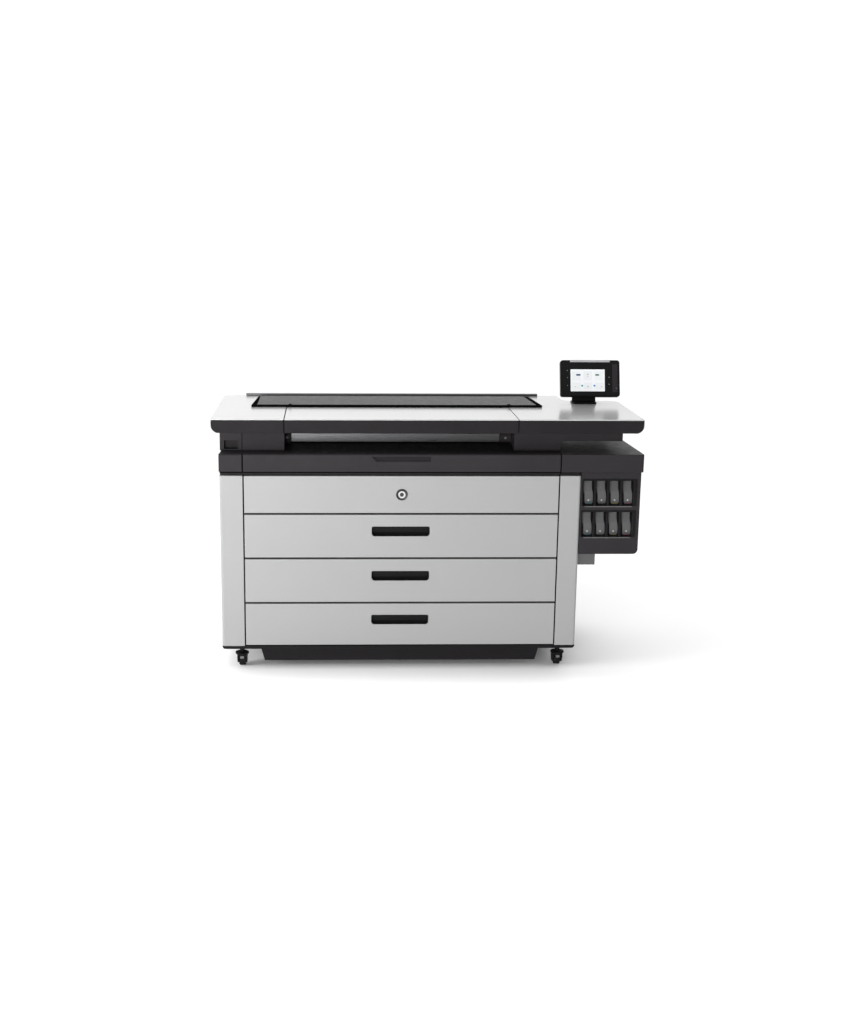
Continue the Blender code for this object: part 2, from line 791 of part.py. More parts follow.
def head_housing_right():
    """The apron, tower and neck to the right of the outlet: a shell that is open under the top."""
    inner = HOOD_RIGHT + SEAM
    wing = RIGHT_WING_REAR - RIGHT_WING_RADIUS
    housing = prism("head_housing_right", apron_outline(RIGHT, inner), "Y", FRONT, wing)
    rear = boxes(
        "head_housing_right_rear",
        ((inner, wing - 0.010, APRON_BOTTOM), (CABINET_RIGHT, ENGINE_REAR, APRON_TOP)),
    )
    tower = boxes(
        "head_housing_right_tower",
        ((inner, TOWER_FRONT, TOWER_BOTTOM), (TOWER_RIGHT_OUTER, ENGINE_REAR - SEAM, APRON_BOTTOM + 0.010)),
    )
    cheek = boxes(
        "head_housing_right_cheek",
        ((SLOT_RIGHT, TOWER_FRONT, TOWER_BOTTOM), (inner + 0.001, ENGINE_REAR - 0.001, APRON_BOTTOM)),
    )
    neck = boxes(
        "head_housing_right_neck",
        ((TOWER_RIGHT_OUTER - SEAM, TOWER_FRONT, NECK_BOTTOM), (NECK_RIGHT, NECK_REAR, APRON_BOTTOM + 0.010)),
    )
    hollow = boxes(
        "head_housing_right_hollow",
        (
            (inner + WALL, FRONT + WALL, APRON_BOTTOM + WALL),
            (RIGHT - APRON_RADIUS, wing - WALL, TOP_Z),
        ),
    )
    rear_hollow = boxes(
        "head_housing_right_rear_hollow",
        (
            (inner + WALL, wing - 0.020, APRON_BOTTOM + WALL),
            (CABINET_RIGHT - WALL, ENGINE_REAR - WALL, TOP_Z + 0.001),
        ),
    )
    tower_hollow = boxes(
        "head_housing_right_tower_hollow",
        (
            (inner + WALL + 0.001, TOWER_FRONT + WALL, TOWER_BOTTOM + WALL),
            (TOWER_RIGHT_OUTER - WALL, ENGINE_REAR - 0.006, APRON_BOTTOM + 0.008),
        ),
    )
    neck_hollow = boxes(
        "head_housing_right_neck_hollow",
        (
            (TOWER_RIGHT_OUTER - 0.010, TOWER_FRONT + WALL + 0.001, NECK_BOTTOM + WALL),
            (NECK_RIGHT - WALL, NECK_REAR - WALL, APRON_BOTTOM + 0.007),
        ),
    )
    block = bearing("head_housing_right_bearing", BAR_X[1] + 0.0015, SLOT_RIGHT + 0.001)
    add(housing, rear, tower, cheek, neck, block)
    cut(
        housing,
        hollow,
        rear_hollow,
        tower_hollow,
        neck_hollow,
        shaft_bore("head_housing_right_bore", BAR_X[1] - 0.01, BAR_X[1] + 0.016),
    )
    paint(housing, CHARCOAL)


# Top


def top_cover_left():
    """The left of the top, with the strip behind the rear lid."""
    inner = HOOD_LEFT - SEAM
    outline = filleted(
        [
            (LEFT, FRONT),
            (inner, FRONT),
            (inner, LID_OPENING_Y[0]),
            (LID_OPENING_X[0], LID_OPENING_Y[0]),
            (LID_OPENING_X[0], LID_OPENING_Y[1]),
            (HOOD_RIGHT, LID_OPENING_Y[1]),
            (HOOD_RIGHT, TOP_REAR),
            (LEFT, TOP_REAR, TOP_CORNER_RADIUS),
        ],
        5,
    )
    paint(prism("top_cover_left", outline, "Z", TOP_Z - TOP_SKIN, TOP_Z), TOP_WHITE)


def top_cover_right():
    """The right of the top, which is shallower over the ink cabinet."""
    inner = HOOD_RIGHT + SEAM
    step_left, step_right = WING_STEP_X
    outline = filleted(
        [
            (inner, FRONT),
            (RIGHT, FRONT),
            (RIGHT, RIGHT_WING_REAR, RIGHT_WING_RADIUS),
            (step_right, RIGHT_WING_REAR),
            (step_left, RIGHT_WING_REAR + step_right - step_left),
            (step_left, TOP_REAR),
            (inner, TOP_REAR),
            (inner, LID_OPENING_Y[1]),
            (LID_OPENING_X[1], LID_OPENING_Y[1]),
            (LID_OPENING_X[1], LID_OPENING_Y[0]),
            (inner, LID_OPENING_Y[0]),
        ],
        7,
    )
    paint(prism("top_cover_right", outline, "Z", TOP_Z - TOP_SKIN, TOP_Z), TOP_WHITE)


def hood():
    """The centre of the top and apron, hinged together along the hood's rear edge."""
    panel = boxes("hood_panel", ((HOOD_LEFT, FRONT, TOP_Z - TOP_SKIN), (HOOD_RIGHT, HOOD_REAR, TOP_Z)))
    bottom = APRON_BOTTOM + 0.0005
    apron = boxes("hood_apron", ((HOOD_LEFT, FRONT, bottom), (HOOD_RIGHT, HOOD_REAR, APRON_TOP)))
    hollow = boxes(
        "hood_apron_hollow",
        (
            (HOOD_LEFT + WALL, FRONT + WALL, bottom + WALL),
            (HOOD_RIGHT - WALL, HOOD_REAR - WALL, TOP_Z),
        ),
    )
    cut(apron, hollow)
    paint(panel, TOP_WHITE)
    paint(apron, CHARCOAL)
    carry(pivot("hood_hinge", (0, HOOD_REAR, TOP_Z)), panel, apron)


def rear_lid():
    """A shallow shell over the print bar, hinged along its rear edge."""
    bottom = TOP_Z + 0.0005
    top = bottom + LID_HEIGHT

    def lid_outline(inset):
        return [
            (LID_FRONT_X[0] + inset, LID_FRONT + inset),
            (LID_FRONT_X[1] - inset, LID_FRONT + inset),
            (LID_REAR_X[1] - inset, LID_REAR - inset),
            (LID_REAR_X[0] + inset, LID_REAR - inset),
        ]

    lid = prism("rear_lid", lid_outline(0), "Z", bottom, top)
    cut(lid, prism("rear_lid_hollow", lid_outline(WALL), "Z", bottom - 0.01, top - WALL))
    paint(lid, LID_GREY)
    carry(pivot("rear_lid_hinge", (0, LID_REAR, bottom)), lid)


def rear_rail():
    """The raised rail behind the lid."""
    bottom = TOP_Z + GAP
    outline = rectangle((RAIL_X[0], RAIL_Y[0]), (RAIL_X[1], RAIL_Y[1]), RAIL_RADIUS, 3)
    paint(prism("rear_rail", outline, "Z", bottom, bottom + RAIL_HEIGHT), STEEL)


# Ink cabinet


def ink_head():
    """The band's right end, a shell over the ink cabinet."""
    outline = filleted(
        [
            (INK_HEAD_LEFT, BAND_FRONT),
            (INK_HEAD_RIGHT, BAND_FRONT, INK_HEAD_RADIUS),
            (INK_HEAD_REAR_X, NECK_REAR),
            (CABINET_RIGHT, NECK_REAR),
            (CABINET_RIGHT, ENGINE_REAR),
            (INK_HEAD_LEFT, ENGINE_REAR),
        ],
        4,
    )
    head = prism("ink_head", outline, "Z", INK_HEAD_BOTTOM, BAND_TOP)
    foot = boxes(
        "ink_head_foot",
        (
            (INK_HEAD_LEFT + 0.001, DECK_FRONT, DECK_BOTTOM),
            (CABINET_RIGHT - 0.001, ENGINE_REAR - 0.001, INK_HEAD_BOTTOM + 0.010),
        ),
    )
    hollow = boxes(
        "ink_head_hollow",
        (
            (INK_HEAD_LEFT + 0.001 + WALL, DECK_FRONT + WALL, DECK_BOTTOM - 0.01),
            (CABINET_RIGHT - 0.001 - WALL, ENGINE_REAR - 0.001 - WALL, BAND_TOP - WALL),
        ),
        (
            (CABINET_RIGHT + WALL, BAND_FRONT + WALL, INK_HEAD_BOTTOM - 0.01),
            (INK_HEAD_REAR_X - 0.009, NECK_REAR - WALL, BAND_TOP - WALL),
        ),
    )
    add(head, foot)
    cut(head, hollow)
    paint(head, CHARCOAL)


def bay_middle(column):
    return BAY_FIRST_X + column * BAY_PITCH


def ink_housing():
    """The ink cabinet, with a bay for each cartridge."""
    top = INK_HEAD_BOTTOM - GAP
    outline = filleted(
        [(INK_LEFT, top), (INK_LEFT, INK_BOTTOM), (INK_RIGHT, INK_BOTTOM, INK_RADIUS), (INK_RIGHT, top)], 5
    )
    housing = prism("ink_housing", outline, "Y", PANEL_FRONT, INK_REAR)
    for row, floor in BAY_FLOORS.items():
        bays = []
        for column in range(len(INKS)):
            low = (bay_middle(column) - BAY_WIDTH / 2, PANEL_FRONT - 0.01, floor)
            high = (bay_middle(column) + BAY_WIDTH / 2, BAY_REAR, floor + BAY_HEIGHT)
            bays.append((low, high))
        cut(housing, boxes(f"ink_housing_{row}_bays", *bays))
    drip_space = boxes(
        "ink_housing_drip_space",
        (
            (INK_LEFT + 0.006, PANEL_FRONT + 0.006, INK_BOTTOM - 0.01),
            (INK_RIGHT - 0.026, INK_REAR - 0.006, min(BAY_FLOORS.values()) - 0.008),
        ),
    )
    cut(housing, drip_space)
    paint(housing, CHARCOAL)


def ink_cartridges():
    for row, floor in BAY_FLOORS.items():
        bottom = floor + GAP
        for column, ink in enumerate(INKS):
            middle = bay_middle(column)
            outline = rectangle(
                (middle - CARTRIDGE_WIDTH / 2, CARTRIDGE_FRONT),
                (middle + CARTRIDGE_WIDTH / 2, CARTRIDGE_FRONT + CARTRIDGE_LENGTH),
                0.005,
                2,
            )
            name = f"ink_cartridge_{row}_{ink}"
            cartridge = prism(name, outline, "Z", bottom, bottom + CARTRIDGE_HEIGHT)
            paint(cartridge, CARTRIDGE_GREY)
            carry(pivot(name + "_slide", (middle, CARTRIDGE_FRONT, bottom)), cartridge)


def ink_bracket():
    """A box section bracket that carries the ink cabinet on the cabinet's side."""
    low = (INK_LEFT, BRACKET_Y[0], BRACKET_BOTTOM)
    high = (BRACKET_RIGHT, BRACKET_Y[1], INK_BOTTOM - GAP)
    bracket = boxes("ink_bracket", (low, high))
    cut(bracket, sheet_hollow("ink_bracket_hollow", low, high))
    paint(bracket, STEEL)


# Control panel


def panel_foot():
    x, y, _ = PANEL_AXIS
    across, deep = FOOT_HALF
    outline = rectangle((x - across, y - deep), (x + across, y + deep), 0.015, 4)
    paint(prism("panel_foot", outline, "Z", TOP_Z + GAP, FOOT_TOP), BLACK)


def panel_neck():
    """The swivelling column, with a barrel and pin across its top for the tilt."""
    x, y, z = PANEL_AXIS
    bottom = FOOT_TOP + GAP
    shoulder, rise = NECK_SHOULDER
    outline = filleted(
        [
            (x - NECK_BASE_HALF, bottom),
            (x + NECK_BASE_HALF, bottom),
            (x + shoulder, bottom + rise, 0.004),
            (x + NECK_HALF, z - 0.024, 0.020),
            (x + NECK_HALF, z + 0.004),
            (x - NECK_HALF, z + 0.004),
            (x - NECK_HALF, z - 0.024, 0.020),
            (x - shoulder, bottom + rise, 0.004),
        ],
        3,
    )
    neck = prism("panel_neck", outline, "Y", y - NECK_HALF_DEPTH, y + NECK_HALF_DEPTH)
    barrel_half = NECK_HALF + 0.0005
    barrel = rod("panel_neck_barrel", -barrel_half, barrel_half, PANEL_BARREL, PANEL_AXIS, sides=20)
    pin = rod("panel_neck_pin", -PIN_HALF, PIN_HALF, SHAFT_RADIUS, PANEL_AXIS, sides=20)
    add(neck, barrel, pin)
    paint(neck, BLACK)
    swivel = pivot("panel_swivel", (x, y, bottom))
    carry(swivel, neck)
    return swivel


def panel_head(swivel):
    """The touch screen's housing and glass, built upright and then tilted back about the pin."""
    x, y, z = PANEL_AXIS
    back = y - PANEL_STANDOFF
    front = back - PANEL_THICKNESS
    low = (PANEL_X[0], z - PANEL_BELOW)
    high = (PANEL_X[1], z + PANEL_ABOVE)
    housing = prism("panel_housing", rectangle(low, high, PANEL_RADIUS), "Y", front, back)
    rim = GLASS_INSET
    pocket_outline = rectangle(
        (low[0] + rim, low[1] + rim), (high[0] - rim, high[1] - rim), PANEL_RADIUS - rim
    )
    pocket = prism("panel_housing_pocket", pocket_outline, "Y", front - 0.01, back - 0.003)
    inset = rim + GAP
    glass_outline = rectangle(
        (low[0] + inset, low[1] + inset), (high[0] - inset, high[1] - inset), PANEL_RADIUS - rim
    )
    glass_front = front + 0.0005
    glass = prism("panel_glass", glass_outline, "Y", glass_front, glass_front + GLASS_THICKNESS)
    near, far = EAR_SPAN
    ears = [
        ear("panel_housing_ear_left", -far, -near, back),
        ear("panel_housing_ear_right", near, far, back),
    ]
    bore = rod("panel_housing_bore", -0.05, 0.05, SHAFT_RADIUS + GAP, PANEL_AXIS, sides=20)
    cut(housing, pocket)
    add(housing, *ears)
    cut(housing, bore)
    paint(housing, BLACK)
    paint(glass, GLASS_BLACK)
    tilt = pivot("panel_tilt", PANEL_AXIS, swivel)
    carry(tilt, housing, glass, pocket, bore, *ears)
    tilt.rotation_euler.x = -PANEL_TILT


def ear(name, start, end, back):
    """A lug behind the screen, round about the tilt axis."""
    x, y, z = PANEL_AXIS
    outline = filleted(
        [
            (back - 0.002, z - EAR_HALF),
            (y + PANEL_BARREL, z - PANEL_BARREL, PANEL_BARREL * 0.98),
            (y + PANEL_BARREL, z + PANEL_BARREL, PANEL_BARREL * 0.98),
            (back - 0.002, z + EAR_HALF),
        ],
        4,
    )
    return prism(name, outline, "X", x + start, x + end)


# Casters


def caster(place, x, y, trail):
    """A swivelling fork with its axle, and the wheel that turns on it."""
    axle_y = y + trail
    back = math.copysign(1, trail)
    outline = filleted(
        [
            (y - back * 0.022, FORK_TOP),
            (y - back * 0.022, 0.046, 0.008),
            (axle_y - back * 0.018, FORK_FOOT, 0.010),
            (axle_y + back * 0.016, FORK_FOOT, 0.010),
            (axle_y + back * 0.026, 0.044, 0.010),
            (axle_y + back * 0.012, FORK_TOP, 0.008),
        ],
        3,
    )
    half = FORK_WIDTH / 2
    fork = prism(f"caster_fork_{place}", outline, "X", x - half, x + half)
    slot_half = WHEEL_WIDTH / 2 + WHEEL_CLEARANCE
    slot = boxes(
        f"caster_fork_{place}_slot",
        ((x - slot_half, y - 0.1, 0), (x + slot_half, y + 0.1, FORK_CROWN)),
    )
    axle_place = (x, axle_y, WHEEL_RADIUS)
    axle_half = half - AXLE_RECESS
    axle = rod(f"caster_fork_{place}_axle", -axle_half, axle_half, AXLE_RADIUS, axle_place, sides=16)
    (plate_bottom, plate_top), (neck_radius, plate_radius) = SWIVEL_PLATE_Z, SWIVEL_PLATE_RADII
    plate_profile = [
        (plate_bottom, 0),
        (plate_bottom, neck_radius),
        (plate_bottom + 0.008, plate_radius),
        (plate_top, plate_radius),
        (plate_top, 0),
    ]
    plate = turned(f"caster_fork_{place}_plate", plate_profile, (x, y, 0), "Z", 24)
    stem_bottom, stem_top = plate_top - 0.002, BASE_BOTTOM - GAP
    stem = rod(f"caster_fork_{place}_stem", stem_bottom, stem_top, STEM_RADIUS, (x, y, 0), "Z", 16)
    cut(fork, slot)
    add(fork, axle, plate, stem)
    paint(fork, BLACK)
    rim = WHEEL_WIDTH / 2
    bore_radius = AXLE_RADIUS + GAP
    profile = [
        (-rim, bore_radius),
        (-rim, 0.010),
        (-rim + HUB_DISH, 0.014),
        (-rim, 0.019),
        (-rim, WHEEL_RADIUS - 0.003),
        (-rim + 0.004, WHEEL_RADIUS),
        (rim - 0.004, WHEEL_RADIUS),
        (rim, WHEEL_RADIUS - 0.003),
        (rim, 0.019),
        (rim - HUB_DISH, 0.014),
        (rim, 0.010),
        (rim, bore_radius),
    ]
    wheel = turned(f"caster_wheel_{place}", profile, axle_place, sides=24, closed=True)
    paint(wheel, RUBBER)
    swivel = pivot(f"caster_swivel_{place}", (x, y, 0.070))
    carry(swivel, fork)
    carry(pivot(f"caster_axle_{place}", axle_place, swivel), wheel)


def casters():
    for side, x in CASTER_XS.items():
        caster(f"front_{side}", x, -CASTER_Y, CASTER_TRAIL)
        caster(f"rear_{side}", x, CASTER_Y, -CASTER_TRAIL)


def build():
    clear_scene()
    base_plate()
    side_panel("left_side_panel", CABINET_LEFT, PILLAR_LEFT_INNER)
    side_panel("right_side_panel", CABINET_RIGHT, PILLAR_RIGHT_INNER)
    back_cover()
    upper_front_panel()
    lower_tray()
    drawers()
    platen_deck()
    access_flap()
    output_bar()
    output_roller()
    print_bar()
    head_housing_left()
    head_housing_right()
    top_cover_left()
    top_cover_right()
    hood()
    rear_lid()
    rear_rail()
    ink_head()
    ink_housing()
    ink_cartridges()
    ink_bracket()
    panel_foot()
    panel_head(panel_neck())
    casters()


build()
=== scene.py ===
"""How the large format plotter looks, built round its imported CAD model.

Metres, in the CAD's frame: the floor is z = 0, -Y is the front and +X is the side with the ink
cabinet. Every piece is modelled where it stands, so its mesh holds frame coordinates.
"""

import json
import math

import bmesh
import bpy
from mathutils import Matrix, Vector

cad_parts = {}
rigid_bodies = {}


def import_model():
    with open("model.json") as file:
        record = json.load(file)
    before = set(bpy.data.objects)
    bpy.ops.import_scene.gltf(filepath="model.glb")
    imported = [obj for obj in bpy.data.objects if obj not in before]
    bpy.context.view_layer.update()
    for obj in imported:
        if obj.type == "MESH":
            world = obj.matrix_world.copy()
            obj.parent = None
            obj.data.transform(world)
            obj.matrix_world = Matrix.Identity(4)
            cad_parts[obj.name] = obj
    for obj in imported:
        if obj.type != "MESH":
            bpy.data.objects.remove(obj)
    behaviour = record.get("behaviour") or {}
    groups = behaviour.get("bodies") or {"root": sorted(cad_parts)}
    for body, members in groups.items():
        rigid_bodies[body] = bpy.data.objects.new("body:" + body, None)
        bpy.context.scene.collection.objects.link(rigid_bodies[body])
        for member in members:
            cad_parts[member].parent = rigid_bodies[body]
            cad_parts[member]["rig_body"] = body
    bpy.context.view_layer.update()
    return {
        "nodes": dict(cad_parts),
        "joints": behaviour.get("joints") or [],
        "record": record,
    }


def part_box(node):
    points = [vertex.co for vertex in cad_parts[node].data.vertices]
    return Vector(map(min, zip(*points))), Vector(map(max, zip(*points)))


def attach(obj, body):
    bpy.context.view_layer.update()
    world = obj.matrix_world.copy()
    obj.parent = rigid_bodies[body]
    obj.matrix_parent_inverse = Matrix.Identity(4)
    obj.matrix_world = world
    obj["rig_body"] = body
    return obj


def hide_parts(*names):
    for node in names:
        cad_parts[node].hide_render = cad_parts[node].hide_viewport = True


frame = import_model()

MM = 0.001
SHEET = 2 * MM  # folded steel
WALL = 4 * MM  # moulded plastic
FLUSH = 0.2 * MM  # a piece laid on a face sinks or stands off by this much
ARC_STEPS = 8
TAU = math.tau


# Shapes


def made(name, bm):
    """An object from a bmesh, with its faces pointing out and its round sides smooth."""
    bmesh.ops.remove_doubles(bm, verts=bm.verts, dist=1e-6)
    bmesh.ops.recalc_face_normals(bm, faces=bm.faces)
    mesh = bpy.data.meshes.new(name)
    bm.to_mesh(mesh)
    bm.free()
    mesh.shade_smooth()
    mesh.set_sharp_from_angle(angle=math.radians(35))
    piece = bpy.data.objects.new(name, mesh)
    bpy.context.scene.collection.objects.link(piece)
    return piece


def boxes(name, *corners):
    """One object of boxes, each given as its lowest and its highest corner."""
    bm = bmesh.new()
    for low, high in corners:
        low, high = Vector(low), Vector(high)
        place = Matrix.Translation((low + high) / 2) @ Matrix.Diagonal((*(high - low), 1))
        bmesh.ops.create_cube(bm, size=1, matrix=place)
    return made(name, bm)


def filleted(corners, steps=ARC_STEPS):
    """The points of a closed outline whose corners are (a, b), or (a, b, radius) for a rounded one."""
    points = []
    for index, corner in enumerate(corners):
        here = Vector(corner[:2])
        if len(corner) == 2:
            points.append(here)
            continue
        radius = corner[2]
        back = (Vector(corners[index - 1][:2]) - here).normalized()
        ahead = (Vector(corners[(index + 1) % len(corners)][:2]) - here).normalized()
        half = back.angle(ahead) / 2
        centre = here + (back + ahead).normalized() * radius / math.sin(half)
        start = here + back * radius / math.tan(half) - centre
        turn = -start.angle_signed(here + ahead * radius / math.tan(half) - centre)
        for step in range(steps + 1):
            points.append(centre + Matrix.Rotation(turn * step / steps, 2) @ start)
    return points


def rectangle(low, high, radius, steps=ARC_STEPS):
    (a, b), (c, d) = low, high
    return filleted([(a, b, radius), (c, b, radius), (c, d, radius), (a, d, radius)], steps)


def prism(name, outline, axis, start, end):
    """An outline swept along an axis: (y, z) points along X, (x, z) along Y, (x, y) along Z."""
    slot = "XYZ".index(axis)

    def placed(point, along):
        coords = list(point)
        coords.insert(slot, along)
        return coords

    bm = bmesh.new()
    face = bm.faces.new([bm.verts.new(placed(point, start)) for point in outline])
    swept = bmesh.ops.extrude_face_region(bm, geom=[face])
    moved = [item for item in swept["geom"] if isinstance(item, bmesh.types.BMVert)]
    shift = Vector((0, 0, 0))
    shift[slot] = end - start
    bmesh.ops.translate(bm, vec=shift, verts=moved)
    return made(name, bm)


def turned(name, profile, centre, axis="X", sides=48, closed=False):
    """A profile of (distance along the axis, radius) points, turned about an axis through centre."""
    bm = bmesh.new()
    verts = [bm.verts.new((along, 0, radius)) for along, radius in profile]
    pairs = list(zip(verts, verts[1:]))
    if closed:
        pairs.append((verts[-1], verts[0]))
    edges = [bm.edges.new(pair) for pair in pairs]
    bmesh.ops.spin(
        bm, geom=verts + edges, cent=(0, 0, 0), axis=(1, 0, 0), angle=TAU, steps=sides, use_merge=True
    )
    if axis != "X":
        aim = Vector((1, 0, 0)).rotation_difference(Vector((0, axis == "Y", axis == "Z")))
        bmesh.ops.rotate(bm, verts=bm.verts, matrix=aim.to_matrix())
    bmesh.ops.translate(bm, verts=bm.verts, vec=centre)
    return made(name, bm)


def rod(name, start, end, radius, centre, axis="X", sides=32, chamfer=0.0):
    """A cylinder between two distances along its axis, with a chamfer at each end."""
    profile = [(start, 0), (start, radius), (end, radius), (end, 0)]
    if chamfer:
        profile = [
            (start, 0),
            (start, radius - chamfer),
            (start + chamfer, radius),
            (end - chamfer, radius),
            (end, radius - chamfer),
            (end, 0),
        ]
    return turned(name, profile, centre, axis, sides)


def settled(piece):
    """Apply a piece's modifiers, and join up the flat faces that a Boolean has split."""
    graph = bpy.context.evaluated_depsgraph_get()
    mesh = bpy.data.meshes.new_from_object(piece.evaluated_get(graph))
    bm = bmesh.new()
    bm.from_mesh(mesh)
    bmesh.ops.remove_doubles(bm, verts=bm.verts, dist=1e-6)
    bmesh.ops.dissolve_limit(bm, angle_limit=math.radians(0.5), verts=bm.verts, edges=bm.edges)
    bm.to_mesh(mesh)
    bm.free()
    mesh.set_sharp_from_angle(angle=math.radians(35))
    piece.modifiers.clear()
    piece.data = mesh
    return piece


def combined(piece, operation, tools):
    for tool in tools:
        modifier = piece.modifiers.new(operation.title(), "BOOLEAN")
        modifier.operation = operation
        modifier.object = tool
    settled(piece)
    for tool in tools:
        bpy.data.objects.remove(tool)
    return piece


def carved(piece, *tools):
    return combined(piece, "DIFFERENCE", tools)


def merged(piece, *tools):
    return combined(piece, "UNION", tools)


def common(piece, *tools):
    return combined(piece, "INTERSECT", tools)


def joined(name, pieces):
    """Several separate shells as one object."""
    bm = bmesh.new()
    for piece in pieces:
        bm.from_mesh(piece.data)
        bpy.data.objects.remove(piece)
    return made(name, bm)


def turn_about(piece, centre, matrix):
    """Turn a piece's mesh about a point."""
    centre = Vector(centre)
    whole = Matrix.Translation(centre) @ matrix.to_4x4() @ Matrix.Translation(-centre)
    piece.data.transform(whole)
    return piece


def soften(piece, width, segments=2):
    """Round a piece's edges and keep its flat faces flat."""
    bevel = piece.modifiers.new("Rounded edges", "BEVEL")
    bevel.width = width
    bevel.segments = segments
    bevel.limit_method = "ANGLE"
    bevel.angle_limit = math.radians(32)
    bevel.use_clamp_overlap = False
    normals = piece.modifiers.new("Flat faces", "WEIGHTED_NORMAL")
    normals.keep_sharp = True
    return piece


# Materials


def node(tree, kind, settings=None, **values):
    """A shader node with its settings, and its sockets set or linked by name."""
    fresh = tree.nodes.new(kind)
    for key, value in (settings or {}).items():
        setattr(fresh, key, value)
    for key, value in values.items():
        socket = fresh.inputs[key.replace("_", " ")]
        if isinstance(value, bpy.types.NodeSocket):
            tree.links.new(value, socket)
        else:
            socket.default_value = value
    return fresh


def surface(
    name,
    colour,
    roughness,
    metallic=0.0,
    vary=0.05,
    vary_size=0.15,
    shine_vary=0.05,
    shine_size=0.03,
    grain=0.00002,
    grain_size=0.0012,
    stretch=(1, 1, 1),
    spangle=0.0,
    coat=0.0,
    specular=0.5,
    glow=0.0,
):
    """A Principled material whose colour, roughness and bump vary over the object.

    colour is linear; vary is the share by which it wanders over vary_size metres, and shine_vary
    does the same for the roughness. grain is the height of the bump, in metres.
    """
    material = bpy.data.materials.new(name)
    material.use_nodes = True
    tree = material.node_tree
    shader = tree.nodes["Principled BSDF"]
    shader.inputs["Metallic"].default_value = metallic
    shader.inputs["Specular IOR Level"].default_value = specular
    if coat:
        shader.inputs["Coat Weight"].default_value = coat
        shader.inputs["Coat Roughness"].default_value = 0.06
    place = node(tree, "ShaderNodeTexCoord").outputs["Object"]
    place = node(tree, "ShaderNodeMapping", Vector=place, Scale=stretch).outputs["Vector"]
    if spangle:
        cells = node(tree, "ShaderNodeTexVoronoi", Vector=place, Scale=1 / spangle)
        wander = node(tree, "ShaderNodeSeparateColor", Color=cells.outputs["Color"]).outputs["Red"]
    else:
        wander = node(tree, "ShaderNodeTexNoise", Vector=place, Scale=1 / vary_size, Detail=5.0).outputs["Fac"]
    ramp = node(tree, "ShaderNodeValToRGB", Fac=wander)
    low, high = ramp.color_ramp.elements
    low.position, high.position = (0.0, 1.0) if spangle else (0.3, 0.7)
    low.color = (*[c * (1 - vary) for c in colour], 1)
    high.color = (*[min(1, c * (1 + vary)) for c in colour], 1)
    tree.links.new(ramp.outputs["Color"], shader.inputs["Base Color"])
    cloud = node(tree, "ShaderNodeTexNoise", Vector=place, Scale=1 / shine_size, Detail=3.0).outputs["Fac"]
    shine = node(
        tree,
        "ShaderNodeMapRange",
        Value=wander if spangle else cloud,
        From_Min=0.3,
        From_Max=0.7,
        To_Min=max(0.02, roughness - shine_vary),
        To_Max=min(1, roughness + shine_vary),
    )
    tree.links.new(shine.outputs["Result"], shader.inputs["Roughness"])
    pits = node(tree, "ShaderNodeTexNoise", Vector=place, Scale=1 / grain_size, Detail=2.0).outputs["Fac"]
    bump = node(tree, "ShaderNodeBump", Strength=1.0, Distance=grain, Height=pits)
    tree.links.new(bump.outputs["Normal"], shader.inputs["Normal"])
    if glow:
        tree.links.new(ramp.outputs["Color"], shader.inputs["Emission Color"])
        shader.inputs["Emission Strength"].default_value = glow
    return material


BRUSHED_X = (0.02, 1, 1)  # scratches that run along X

